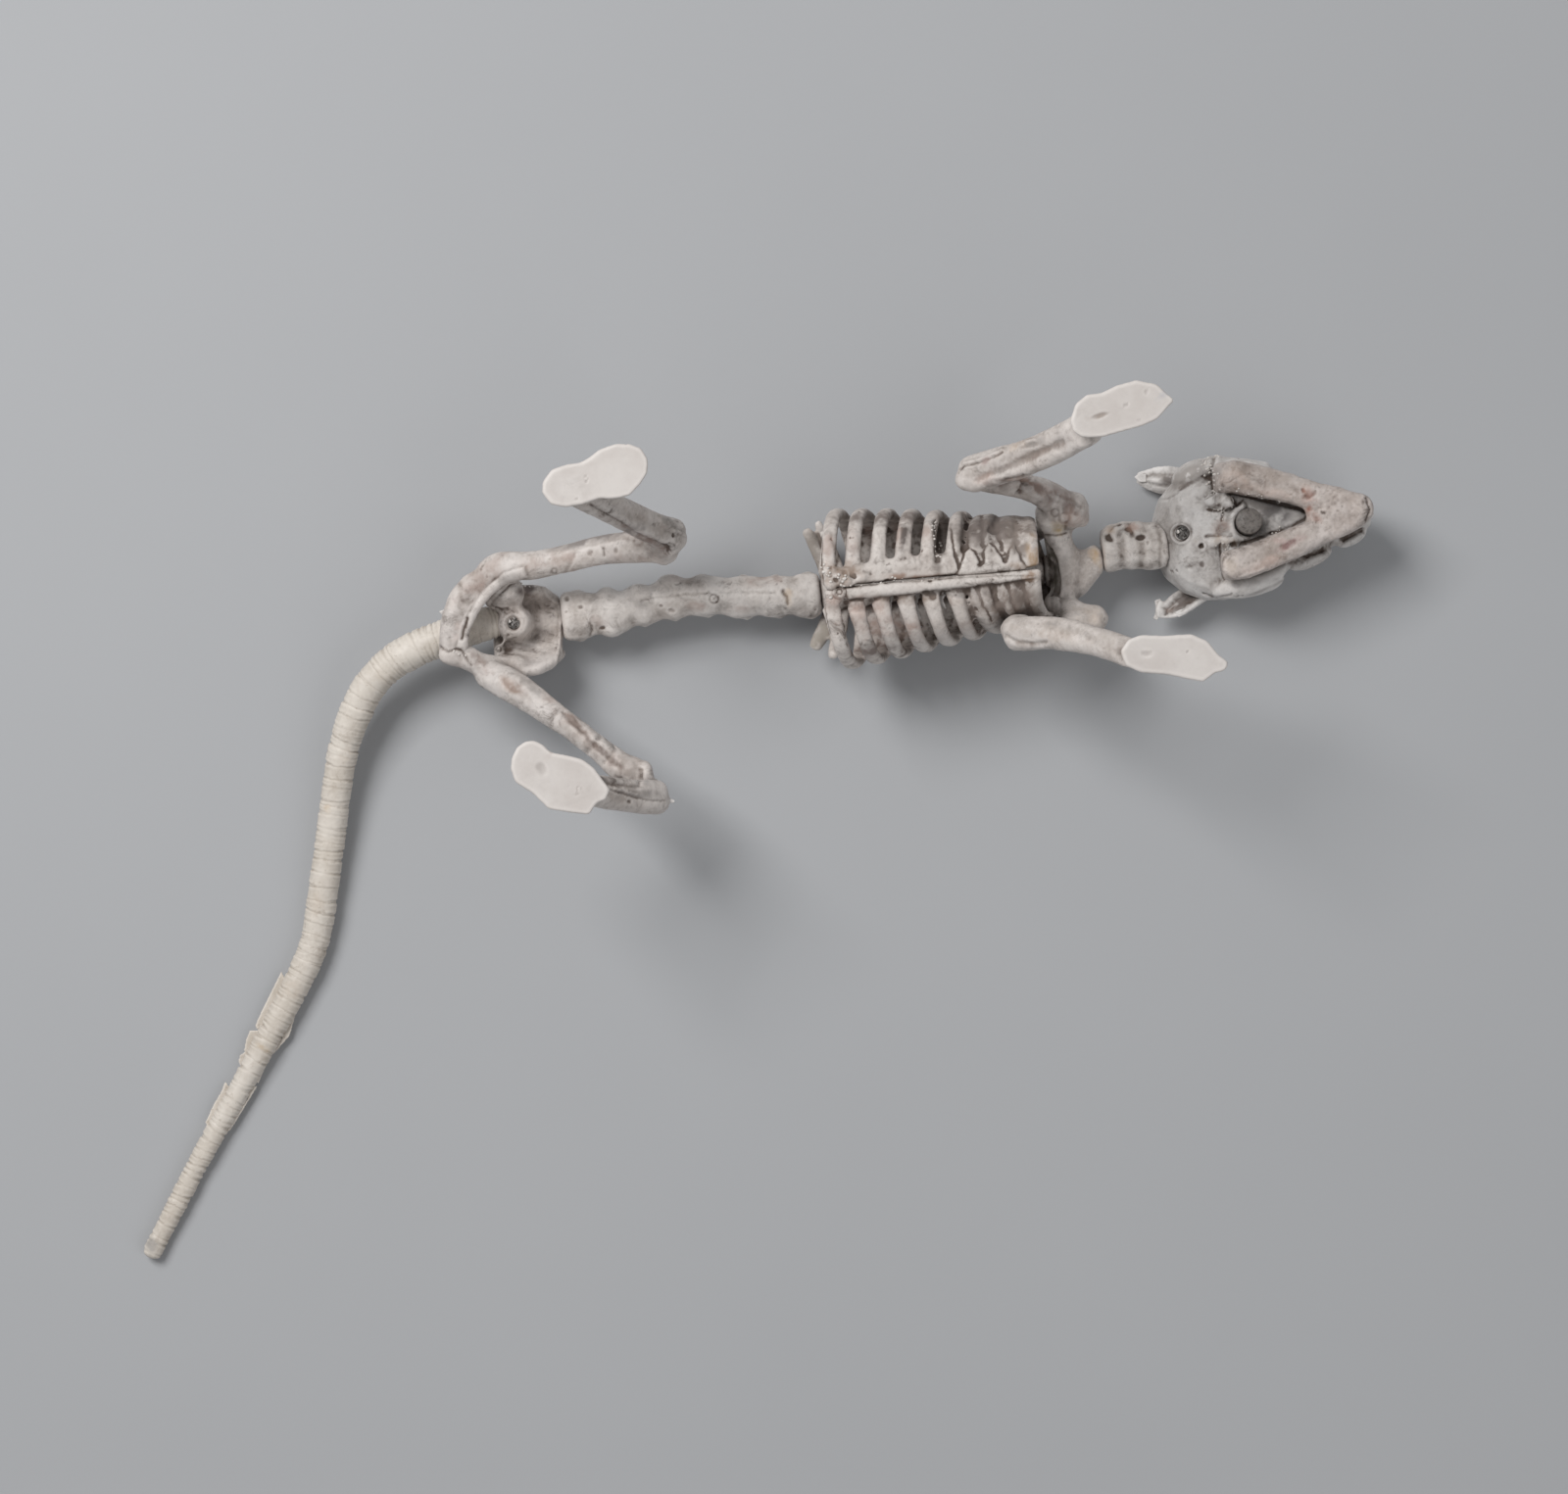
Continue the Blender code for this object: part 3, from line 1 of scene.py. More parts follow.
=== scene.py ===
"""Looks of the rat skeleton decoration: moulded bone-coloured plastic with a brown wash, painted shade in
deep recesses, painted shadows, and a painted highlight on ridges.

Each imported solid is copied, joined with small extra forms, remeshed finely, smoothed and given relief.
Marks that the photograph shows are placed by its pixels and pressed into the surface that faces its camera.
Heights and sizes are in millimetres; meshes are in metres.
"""

import math

import bmesh
import bpy
import numpy as np
from mathutils import Matrix, Vector
from mathutils.bvhtree import BVHTree


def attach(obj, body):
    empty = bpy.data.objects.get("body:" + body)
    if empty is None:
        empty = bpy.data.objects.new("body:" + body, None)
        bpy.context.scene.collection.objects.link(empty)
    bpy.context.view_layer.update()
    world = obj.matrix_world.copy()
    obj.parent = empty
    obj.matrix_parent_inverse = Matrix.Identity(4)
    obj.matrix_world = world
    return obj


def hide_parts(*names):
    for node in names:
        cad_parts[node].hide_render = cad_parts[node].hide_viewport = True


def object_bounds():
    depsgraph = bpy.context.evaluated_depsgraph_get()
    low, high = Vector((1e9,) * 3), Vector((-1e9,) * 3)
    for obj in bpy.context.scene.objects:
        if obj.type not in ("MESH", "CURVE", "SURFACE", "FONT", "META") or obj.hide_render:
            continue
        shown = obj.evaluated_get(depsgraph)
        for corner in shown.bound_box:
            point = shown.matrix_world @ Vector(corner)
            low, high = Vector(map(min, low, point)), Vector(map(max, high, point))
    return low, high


MM = 0.001
# Cell sizes of the skins
VOXEL = 0.3
FINE_VOXEL = 0.25
FLASH_VOXEL = 0.15
PEG_VOXEL = 0.15

# Relief: wavelengths, and where pits start, their greatest share and their depth for each part of it
LUMP_WAVE = 6.0
GRAIN_WAVE = 1.5
PIT_WAVE = 2.4
PIT_START = 0.62
PIT_MOST = 0.3
PIT_DEPTH = 0.6

# The photograph's camera: straight above the model, turned a little about the vertical.
IMAGE_WIDTH = 1600
IMAGE_HEIGHT = 1525
CAMERA_X = -36.9
CAMERA_Y = -33.85
CAMERA_Z = 1000.0
CAMERA_TURN = math.radians(5.8)
SENSOR = 36.0
LENS = 97.5

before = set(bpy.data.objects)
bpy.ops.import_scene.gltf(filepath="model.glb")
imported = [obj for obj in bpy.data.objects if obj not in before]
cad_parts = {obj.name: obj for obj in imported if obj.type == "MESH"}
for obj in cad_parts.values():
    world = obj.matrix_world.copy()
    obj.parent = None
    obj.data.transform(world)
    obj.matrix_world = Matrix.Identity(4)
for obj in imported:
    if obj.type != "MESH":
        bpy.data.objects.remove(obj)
CAD_LOW, CAD_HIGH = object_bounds()
BOX_LOW = np.array(CAD_LOW) / MM
BOX_HIGH = np.array(CAD_HIGH) / MM


# Where things are

def pixels(points):
    """The photograph's pixel (u, v) of each point, given in millimetres."""
    scale = LENS / SENSOR * IMAGE_WIDTH / (CAMERA_Z - points[:, 2])
    dx = points[:, 0] - CAMERA_X
    dy = points[:, 1] - CAMERA_Y
    right = dx * math.cos(CAMERA_TURN) - dy * math.sin(CAMERA_TURN)
    up = dx * math.sin(CAMERA_TURN) + dy * math.cos(CAMERA_TURN)
    return np.column_stack((IMAGE_WIDTH / 2 + right * scale, IMAGE_HEIGHT / 2 - up * scale))


def seen_at(u, v, z):
    """The point at height z that the photograph shows at pixel (u, v)."""
    scale = LENS / SENSOR * IMAGE_WIDTH / (CAMERA_Z - z)
    right = (u - IMAGE_WIDTH / 2) / scale
    up = (IMAGE_HEIGHT / 2 - v) / scale
    x = CAMERA_X + right * math.cos(CAMERA_TURN) + up * math.sin(CAMERA_TURN)
    y = CAMERA_Y - right * math.sin(CAMERA_TURN) + up * math.cos(CAMERA_TURN)
    return Vector((x, y, z))


def line_distance(uv, line):
    """Distance of each pixel to a line through the given pixels."""
    best = np.full(len(uv), 1e9)
    for start, end in zip(line, line[1:]):
        start = np.array(start, float)
        run = np.array(end, float) - start
        t = np.clip(((uv - start) @ run) / (run @ run), 0, 1)
        best = np.minimum(best, np.linalg.norm(uv - start - t[:, None] * run, axis=1))
    return best


def spot_distance(uv, u, v, ru, rv, turn):
    """Distance from the middle of an oval spot, as a share of its radius."""
    a = math.radians(turn)
    du, dv = uv[:, 0] - u, uv[:, 1] - v
    along = (du * math.cos(a) + dv * math.sin(a)) / ru
    across = (dv * math.cos(a) - du * math.sin(a)) / rv
    return np.hypot(along, across)


# Noise

def corner_value(cells, seed):
    """A repeatable number from -1 to 1 for each whole-number cell."""
    x, y, z = cells.T
    mixed = (x * 73856093) ^ (y * 19349663) ^ (z * 83492791) ^ (seed * 668265263)
    mixed = (mixed ^ (mixed >> 13)) * 1274126177
    return ((mixed ^ (mixed >> 16)) & 0xFFFF) / 32767.5 - 1.0


def smooth_noise(points, wavelength, seed):
    """Soft noise from -1 to 1 that varies over the wavelength."""
    scaled = points / wavelength + 37.0
    base = np.floor(scaled).astype(np.int64)
    part = scaled - base
    part = part * part * part * (part * (part * 6 - 15) + 10)
    total = np.zeros(len(points))
    for corner in range(8):
        offset = np.array(((corner >> 2) & 1, (corner >> 1) & 1, corner & 1))
        weight = np.prod(np.where(offset, part, 1 - part), axis=1)
        total += weight * corner_value(base + offset, seed)
    return total


def layered_noise(points, wavelength, seed, layers=3):
    """Noise with finer layers on top, from about -1 to 1."""
    total = np.zeros(len(points))
    for layer in range(layers):
        total += smooth_noise(points, wavelength / 2 ** layer, seed + layer) / 1.8 ** layer
    return total / 1.6


# Mesh tools

def keep(name, mesh):
    """A new object in the scene."""
    made = bpy.data.objects.new(name, mesh)
    bpy.context.scene.collection.objects.link(made)
    return made


def as_mesh(bm, name):
    """A mesh from a bmesh, which is freed."""
    mesh = bpy.data.meshes.new(name)
    bm.to_mesh(mesh)
    bm.free()
    return mesh


def joined(name, meshes):
    """One mesh of several closed ones."""
    bm = bmesh.new()
    for mesh in meshes:
        bm.from_mesh(mesh)
    return as_mesh(bm, name)


def read_points(mesh):
    """A mesh's points in millimetres."""
    found = np.empty(len(mesh.vertices) * 3, np.float32)
    mesh.vertices.foreach_get("co", found)
    return found.reshape(-1, 3).astype(float) / MM


def write_points(mesh, points):
    """Sets a mesh's points from millimetres."""
    mesh.vertices.foreach_set("co", (points * MM).astype(np.float32).ravel())
    mesh.update()


def read_normals(mesh):
    """The direction that each point of a mesh faces."""
    found = np.empty(len(mesh.vertices) * 3, np.float32)
    mesh.vertex_normals.foreach_get("vector", found)
    return found.reshape(-1, 3).astype(float)


def read_edges(mesh):
    """A mesh's edges as pairs of point numbers."""
    found = np.empty(len(mesh.edges) * 2, np.int32)
    mesh.edges.foreach_get("vertices", found)
    return found.reshape(-1, 2)


def reach_along(normals, offsets):
    """How far each offset reaches along its normal."""
    return np.einsum("ij,ij->i", offsets, normals)


def neighbour_mean(values, edges, degree):
    """The mean of each point's neighbours."""
    total = np.empty_like(values)
    count = len(values)
    for k in range(values.shape[1]):
        column = values[:, k]
        total[:, k] = np.bincount(edges[:, 0], column[edges[:, 1]], count)
        total[:, k] += np.bincount(edges[:, 1], column[edges[:, 0]], count)
    return total / degree[:, None]


def relaxed(values, edges, passes):
    """Values drawn towards the mean of their neighbours, so many times."""
    degree = np.maximum(np.bincount(edges.ravel(), minlength=len(values)), 1)
    for _ in range(passes):
        values = 0.5 * (values + neighbour_mean(values, edges, degree))
    return values


def evened(mesh, passes):
    """Smooths facets away, then sets the surface back by what it shrank over wider areas."""
    edges = read_edges(mesh)
    before = read_points(mesh)
    after = relaxed(before, edges, passes)
    write_points(mesh, after)
    normals = read_normals(mesh)
    lost = reach_along(normals, before - after)[:, None]
    write_points(mesh, after + normals * relaxed(lost, edges, passes * 2))


def reskin(shell, voxel):
    """Swaps an object's mesh for an even fine skin round it."""
    skin = shell.modifiers.new("skin", "REMESH")
    skin.mode = "VOXEL"
    skin.voxel_size = voxel * MM
    graph = bpy.context.evaluated_depsgraph_get()
    fine = bpy.data.meshes.new_from_object(shell.evaluated_get(graph))
    coarse = shell.data
    shell.modifiers.clear()
    shell.data = fine
    bpy.data.meshes.remove(coarse)


def push(mesh, distance):
    """Moves a mesh's surface outwards."""
    write_points(mesh, read_points(mesh) + read_normals(mesh) * distance)


def remeshed(name, sources, voxel, fillet):
    """One fine closed skin round closed meshes that may overlap, with a fillet where they meet."""
    shell = keep(name, joined(name, sources))
    reskin(shell, voxel)
    if fillet > 0:
        push(shell.data, fillet)
        reskin(shell, voxel)
        push(shell.data, -fillet)
        reskin(shell, voxel)
    return shell


def blob(centre, radii, turn=(0, 0, 0), detail=3):
    """A mesh of an ellipsoid, in millimetres."""
    bm = bmesh.new()
    bmesh.ops.create_icosphere(bm, subdivisions=detail, radius=1.0)
    spin = Matrix.Rotation(math.radians(turn[2]), 4, "Z") @ Matrix.Rotation(math.radians(turn[1]), 4, "Y")
    spin = spin @ Matrix.Rotation(math.radians(turn[0]), 4, "X")
    matrix = Matrix.Diagonal((MM, MM, MM, 1)) @ Matrix.Translation(centre) @ spin
    matrix = matrix @ Matrix.Diagonal((*radii, 1))
    bmesh.ops.transform(bm, matrix=matrix, verts=bm.verts)
    return as_mesh(bm, "blob")


def spline(rows, steps):
    """Rows drawn through the given ones on a smooth curve."""
    rows = np.array(rows, float)
    padded = np.vstack((2 * rows[0] - rows[1], rows, 2 * rows[-1] - rows[-2]))
    dense = []
    for before, start, end, after in zip(padded, padded[1:], padded[2:], padded[3:]):
        for t in np.linspace(0, 1, steps, endpoint=False):
            square = (2 * before - 5 * start + 4 * end - after) * t ** 2
            cube = (3 * start - before - 3 * end + after) * t ** 3
            dense.append(0.5 * (2 * start + (end - before) * t + (square + cube)))
    return np.array([*dense, rows[-1]])


def tube(points, sides=12, across=(0, 0, 1)):
    """A mesh round a line of (x, y, z, half width, half height), closed at both ends, in millimetres.

    Its width lies square to the line and to the direction across.
    """
    bm = bmesh.new()
    rings = []
    for i, row in enumerate(points):
        before = Vector(points[max(i - 1, 0)][:3])
        after = Vector(points[min(i + 1, len(points) - 1)][:3])
        along = (after - before).normalized()
        side = Vector(across).cross(along).normalized()
        lift = along.cross(side)
        ring = []
        for k in range(sides):
            turn = 2 * math.pi * k / sides
            offset = side * math.cos(turn) * row[3] + lift * math.sin(turn) * row[4]
            ring.append(bm.verts.new((Vector(row[:3]) + offset) * MM))
        rings.append(ring)
    for low, high in zip(rings, rings[1:]):
        for k in range(sides):
            bm.faces.new((low[k], low[(k + 1) % sides], high[(k + 1) % sides], high[k]))
    bm.faces.new(rings[0])
    bm.faces.new(rings[-1])
    bmesh.ops.recalc_face_normals(bm, faces=bm.faces)
    return as_mesh(bm, "tube")


# Marks on the side that faces the camera, by the photograph's pixels; heights in mm, below 0 is a hollow.
# Areas: outline, edge width, height, grime at the foot of the edge. Lines: pixels, width, height, grime.
# Spots: u, v, two radii, turn, height, grime. Rings: u, v, radius, width, height, grime.
# Stains, painted shade and painted shadows: u, v, two radii, turn, colour, strength.

def near_pixels(uv, shape, reach):
    """Numbers of the pixels in the box round a shape, widened by the reach."""
    low = np.min(shape, axis=0) - reach
    high = np.max(shape, axis=0) + reach
    return np.flatnonzero(((uv > low) & (uv < high)).all(axis=1))


def inside_outline(uv, outline):
    """Whether each pixel lies inside a closed outline."""
    inside = np.zeros(len(uv), bool)
    for (u0, v0), (u1, v1) in zip(outline, outline[1:] + outline[:1]):
        if v0 == v1:
            continue
        crosses = (uv[:, 1] > min(v0, v1)) & (uv[:, 1] <= max(v0, v1))
        inside ^= crosses & (uv[:, 0] < u0 + (uv[:, 1] - v0) * (u1 - u0) / (v1 - v0))
    return inside


def facing_camera(normals):
    """1 where the surface faces the camera, down to 0 where it stands upright or looks away."""
    return np.clip(normals[:, 2] * 3, 0, 1)


def press(points, normals, marks, grime):
    """Raises or lowers the surface in areas, along lines, at spots and on rings, and adds their grime."""
    uv = pixels(points)
    facing = facing_camera(normals)
    worn = np.clip(0.62 + 0.8 * layered_noise(points, 2.6, 81), 0.1, 1.1) * facing
    wander = 1.1 * np.column_stack((layered_noise(points, 1.6, 71), layered_noise(points, 1.6, 75)))
    loose = uv + wander
    lift = np.zeros(len(points))

    def add(near, raised, height, soiled, dirt):
        """Adds a mark's height and its grime at the points near it."""
        lift[near] += raised * height * facing[near]
        grime[near] += soiled * dirt * worn[near]

    for outline, edge, height, dirt in marks.get("areas", ()):
        near = near_pixels(uv, outline, 6 * edge)
        here = uv[near] + 0.6 * wander[near]
        gap = line_distance(here, (*outline, outline[0]))
        depth = np.where(inside_outline(here, outline), gap, -gap)
        foot = np.exp(-((depth * np.sign(height) + edge) / (1.1 * edge)) ** 2)
        add(near, 0.5 * (1 + np.tanh(depth / edge)), height, foot, dirt)
    for line, width, height, dirt in marks.get("lines", ()):
        near = near_pixels(uv, line, 5 * width)
        gap = line_distance(loose[near], line) / width
        soiled = 0.55 * np.exp(-gap ** 2) + 0.25 * np.exp(-(gap / 2.4) ** 2)
        add(near, np.exp(-gap ** 2), height, soiled, dirt)
    for u, v, ru, rv, turn, height, dirt in marks.get("spots", ()):
        near = near_pixels(uv, ((u, v),), 2 * max(ru, rv))
        share = np.exp(-spot_distance(loose[near], u, v, ru, rv, turn) ** 3)
        add(near, share, height, share, dirt)
    for u, v, radius, width, height, dirt in marks.get("rings", ()):
        near = near_pixels(uv, ((u, v),), radius + 4 * width)
        gap = np.hypot(uv[near, 0] - u, uv[near, 1] - v) - radius
        share = np.exp(-(gap / width) ** 2)
        add(near, share, height, share, dirt)
    return points + normals * lift[:, None]


def paint(points, normals, stains):
    """Colour and strength of the stains and the painted shade at each point."""
    uv = pixels(points)
    facing = facing_camera(normals)
    blotched = np.clip(0.6 + 0.95 * layered_noise(points, 2.4, 61, 4), 0.04, 1)
    ragged = 1 + 0.45 * layered_noise(points, 2.0, 90)
    colour = np.zeros((len(points), 4))
    for u, v, ru, rv, turn, shade, strength in stains:
        near = near_pixels(uv, ((u, v),), 2.2 * max(ru, rv))
        far = spot_distance(uv[near], u, v, ru, rv, turn) * ragged[near]
        cover = np.clip(strength * blotched[near], 0, 0.95)
        share = np.clip(1.55 - far, 0, 1) ** 1.5 * facing[near] * cover
        colour[near, :3] = colour[near, :3] * (1 - share[:, None]) + np.array(shade) * share[:, None]
        colour[near, 3] = np.maximum(colour[near, 3], share)
    colour[:, :3] /= np.maximum(colour[:, 3:], 1e-4)
    return np.clip(colour, 0, 1)


def store(mesh, name, values, kind="FLOAT"):
    """Keeps a number or colour at each point of a mesh for its material."""
    layer = mesh.attributes.new(name, kind, "POINT")
    layer.data.foreach_set("value" if kind == "FLOAT" else "color", values.astype(np.float32).ravel())


# Hollows: name, smoothing passes that the surface is compared after, and the depth that counts as full
HOLLOWS = (("hollow", 6, 0.03), ("valley", 40, 0.2))


def record_surface(mesh, grime, stains):
    """Stores how hollow each point lies, its grime, and its stain and painted shade."""
    edges = read_edges(mesh)
    points = read_points(mesh)
    normals = read_normals(mesh)
    smoothed = points
    for name, passes, full_depth in HOLLOWS:
        smoothed = relaxed(smoothed, edges, passes)
        store(mesh, name, np.clip(reach_along(normals, smoothed - points) / full_depth, -1, 1))
    store(mesh, "grime", np.clip(grime, 0, 1))
    store(mesh, "stain", paint(points, normals, stains), "FLOAT_COLOR")
    mesh.shade_smooth()


def finish_surface(shell, lumps, grain, marks, passes, grow, seed):
    """Smooths a remeshed skin and gives it relief and marks."""
    mesh = shell.data
    evened(mesh, passes)
    points = read_points(mesh)
    normals = read_normals(mesh)
    relief = lumps * layered_noise(points, LUMP_WAVE, seed)
    relief = relief + grain * layered_noise(points, GRAIN_WAVE, seed + 5)
    pits = np.clip(layered_noise(points, PIT_WAVE, seed + 9) - PIT_START, 0, PIT_MOST)
    relief -= pits * PIT_DEPTH
    points = points + normals * (grow + relief)[:, None]
    write_points(mesh, points)
    grime = pits * 0.5
    points = press(points, read_normals(mesh), marks, grime)
    points = np.clip(points, BOX_LOW, BOX_HIGH)
    write_points(mesh, points)
    record_surface(mesh, grime, marks.get("stains", ()))


# Materials

def wired(tree, kind, **settings):
    """A new node with its settings and its unlinked inputs set."""
    node = tree.nodes.new(kind)
    for name, value in settings.items():
        if name.startswith("in_"):
            key = name[3:]
            node.inputs[int(key) if key.isdigit() else key].default_value = value
        else:
            setattr(node, name, value)
    return node


def number(tree, operation, first, second, clamp=False):
    """A Math node on two sockets or numbers, and its result."""
    node = tree.nodes.new("ShaderNodeMath")
    node.operation = operation
    node.use_clamp = clamp
    for socket, value in zip(node.inputs, (first, second)):
        if isinstance(value, (int, float)):
            socket.default_value = value
        else:
            tree.links.new(value, socket)
    return node.outputs[0]


def times(tree, first, second):
    """One value times another."""
    return number(tree, "MULTIPLY", first, second)


def plus(tree, first, second, clamp=False):
    """The sum of two values."""
    return number(tree, "ADD", first, second, clamp)


def blend_colour(tree, factor, first, second):
    """Colour first turning to second as the factor goes from 0 to 1."""
    node = tree.nodes.new("ShaderNodeMix")
    node.data_type = "RGBA"
    sockets = [s for s in node.inputs if s.type == "RGBA"]
    for socket, value in ((node.inputs[0], factor), (sockets[0], first), (sockets[1], second)):
        if isinstance(value, (int, float)):
            socket.default_value = value
        elif isinstance(value, tuple):
            socket.default_value = (*value, 1.0)
        else:
            tree.links.new(value, socket)
    return next(s for s in node.outputs if s.type == "RGBA")


def attribute(tree, name):
    """The outputs of a node that reads what the mesh stores."""
    return wired(tree, "ShaderNodeAttribute", attribute_name=name).outputs


def texture(tree, coordinate, scale, detail=4.0, roughness=0.55, distortion=0.0):
    """Cloudy noise from 0 to 1."""
    node = wired(tree, "ShaderNodeTexNoise", in_Scale=scale, in_Detail=detail, in_Roughness=roughness,
                 in_Distortion=distortion)
    tree.links.new(coordinate, node.inputs["Vector"])
    return node.outputs["Fac"]


def step_up(tree, value, low, high):
    """The value stretched so that low gives 0 and high gives 1."""
    node = wired(tree, "ShaderNodeMapRange", clamp=True, interpolation_type="SMOOTHSTEP")
    tree.links.new(value, node.inputs["Value"])
    node.inputs["From Min"].default_value = low
    node.inputs["From Max"].default_value = high
    return node.outputs["Result"]


def new_material(name):
    """A material, its nodes, its shader and the place of each point on its object."""
    made = bpy.data.materials.new(name)
    made.use_nodes = True
    tree = made.node_tree
    return made, tree, tree.nodes["Principled BSDF"], tree.nodes.new("ShaderNodeTexCoord").outputs["Object"]


def plastic(name, light, dark, wash_and_shade, wash_and_shade_share=1.0, rough=0.52, speckle=0.5, crevice=5.0, mottle=0.3,
            scale=1.0):
    """Moulded plastic: two tones, a brown wash in hollows and patches, painted shade in deep recesses, a
    painted highlight on ridges, specks, and the stored stains and painted shade.
    """
    made, tree, shader, place = new_material(name)
    tone = step_up(tree, texture(tree, place, 90.0, 4.0, 0.6), 0.35, 0.68)
    colour = blend_colour(tree, tone, light, dark)
    clouds = texture(tree, place, 260.0, 5.0, 0.65, 0.4)
    patches = step_up(tree, texture(tree, place, 70.0, 5.0, 0.62, 0.6), 0.42, 0.7)
    blotches = step_up(tree, texture(tree, place, 260.0 * scale, 6.0, 0.72, 0.9), 0.46, 0.7)
    hollow = attribute(tree, "hollow")["Fac"]
    valley = attribute(tree, "valley")["Fac"]
    grime = attribute(tree, "grime")["Fac"]
    # Ridges turn to a lighter tone: a painted highlight
    ridge_highlight = times(tree, number(tree, "MINIMUM", hollow, 0.0), -0.55)
    colour = blend_colour(tree, ridge_highlight, colour, tuple(1.16 * value for value in light))
    # Ambient occlusion adds the wash colour in deep recesses and the gaps between parts: painted shade
    shade = tree.nodes.new("ShaderNodeAmbientOcclusion")
    shade.samples = 6
    shade.inputs["Distance"].default_value = crevice * MM
    crevice_shade = number(tree, "SUBTRACT", 0.92, shade.outputs["AO"], clamp=True)
    amount = times(tree, number(tree, "MAXIMUM", hollow, 0.0), 0.45)
    amount = plus(tree, amount, times(tree, number(tree, "MAXIMUM", valley, 0.0), 0.4))
    amount = plus(tree, amount, times(tree, crevice_shade, 0.75))
    ragged = plus(tree, times(tree, clouds, 1.6), -0.1)
    amount = times(tree, times(tree, amount, ragged), wash_and_shade_share)
    uneven = times(tree, blotches, plus(tree, times(tree, patches, 0.8), 0.2))
    fine = step_up(tree, texture(tree, place, 700.0 * scale, 5.0, 0.7, 0.5), 0.5, 0.75)
    uneven = plus(tree, uneven, times(tree, fine, 0.35))
    amount = plus(tree, amount, times(tree, uneven, mottle))
    amount = plus(tree, amount, times(tree, grime, plus(tree, clouds, 0.35)), clamp=True)
    colour = blend_colour(tree, amount, colour, wash_and_shade)
    specks = step_up(tree, texture(tree, place, 900.0, 2.0, 0.5), 0.66, 0.74)
    colour = blend_colour(tree, times(tree, specks, 0.3 * speckle), colour, wash_and_shade)
    # The stored stains and painted shade
    stain = attribute(tree, "stain")
    colour = blend_colour(tree, stain["Alpha"], colour, stain["Color"])
    tree.links.new(colour, shader.inputs["Base Color"])
    gloss = plus(tree, times(tree, clouds, 0.22), rough - 0.1)
    tree.links.new(plus(tree, gloss, times(tree, amount, 0.2)), shader.inputs["Roughness"])
    shader.inputs["Specular IOR Level"].default_value = 0.38
    bump = wired(tree, "ShaderNodeBump", in_Strength=0.35, in_Distance=0.06 * MM)
    tree.links.new(texture(tree, place, 1500.0, 3.0, 0.6), bump.inputs["Height"])
    tree.links.new(bump.outputs["Normal"], shader.inputs["Normal"])
    return made


def metal(name):
    """Dull plated steel with dirt in its recess."""
    made, tree, shader, place = new_material(name)
    shader.inputs["Metallic"].default_value = 1.0
    worn = texture(tree, place, 1400.0, 4.0, 0.7)
    dirt = step_up(tree, worn, 0.35, 0.7)
    colour = blend_colour(tree, dirt, (0.3, 0.285, 0.27), (0.09, 0.078, 0.07))
    tree.links.new(colour, shader.inputs["Base Color"])
    tree.links.new(plus(tree, times(tree, worn, 0.4), 0.22), shader.inputs["Roughness"])
    bump = wired(tree, "ShaderNodeBump", in_Strength=0.3, in_Distance=0.05 * MM)
    tree.links.new(worn, bump.inputs["Height"])
    tree.links.new(bump.outputs["Normal"], shader.inputs["Normal"])
    return made


# Extra forms, joined into the skins: placed by pixel and height

def lump(u, v, z, radii, turn=0.0):
    """A rounded lump at a pixel and a height; its turn is seen in the photograph."""
    return blob(seen_at(u, v, z), radii, (0, 0, turn - math.degrees(CAMERA_TURN)))


def rod(rows):
    """A thin rod through (u, v, z, half width, half height)."""
    return tube([(*seen_at(u, v, z), width, height) for u, v, z, width, height in rows])


def thickened(bm, thick, name):
    """A closed plate of the given thickness from a sheet of faces."""
    bmesh.ops.delete(bm, geom=[v for v in bm.verts if not v.link_faces], context="VERTS")
    bmesh.ops.recalc_face_normals(bm, faces=bm.faces)
    bmesh.ops.solidify(bm, geom=list(bm.faces), thickness=thick * MM)
    return as_mesh(bm, name)


def plate(outline, z, thick, holes=(), step=0.9):
    """A thin plate with the given outline and holes in pixels, its edges a little ragged."""
    us = np.arange(min(p[0] for p in outline) - step, max(p[0] for p in outline) + step, step)
    vs = np.arange(min(p[1] for p in outline) - step, max(p[1] for p in outline) + step, step)
    bm = bmesh.new()
    grid = [[bm.verts.new(seen_at(u, v, z) * MM) for v in vs] for u in us]
    middles = np.array([(u + step / 2, v + step / 2) for u in us for v in vs])
    kept = inside_outline(middles, outline)
    for hole in holes:
        kept &= ~inside_outline(middles, hole)
    kept = kept.reshape(len(us), len(vs))
    for i in range(len(us) - 1):
        for k in range(len(vs) - 1):
            if kept[i, k]:
                bm.faces.new((grid[i][k], grid[i][k + 1], grid[i + 1][k + 1], grid[i + 1][k]))
    return thickened(bm, thick, "plate")


def arc(u, v, radius, z, thick, start, end, steps=9):
    """A curved ridge round a pixel, between two angles in degrees, counted from the right and upwards."""
    rows = []
    for i in range(steps):
        a = math.radians(start + (end - start) * i / (steps - 1))
        rows.append((u + radius * math.cos(a), v - radius * math.sin(a), z, thick, thick))
    return rod(rows)


# The ribs again with round bends; half widths of the cage at its rear and front, right (1) and left (-1)
RIB_FIRST_X = -23.1
RIB_PITCH = 5.65
RIB_SLANT = 4.2
FLANK_Z = 21.5
CAGE_REAR_X = -19.0
CAGE_LENGTH = 43.0
CAGE_HALF_WIDTHS = {1: (18.9, 13.0), -1: (17.0, 10.6)}

# The breastbone's height above the floor falls towards the head
BREAST_REAR_X = -24.8
BREAST_LENGTH = 52.1
BREAST_Z = 39.0
BREAST_FALL = 3.4


def flank_reach(x, side):
    """Half width of the cage at x on one side."""
    t = min(max((x - CAGE_REAR_X) / CAGE_LENGTH, 0.0), 1.0)
    rear, front = CAGE_HALF_WIDTHS[side]
    return rear + (front - rear) * t ** 1.2


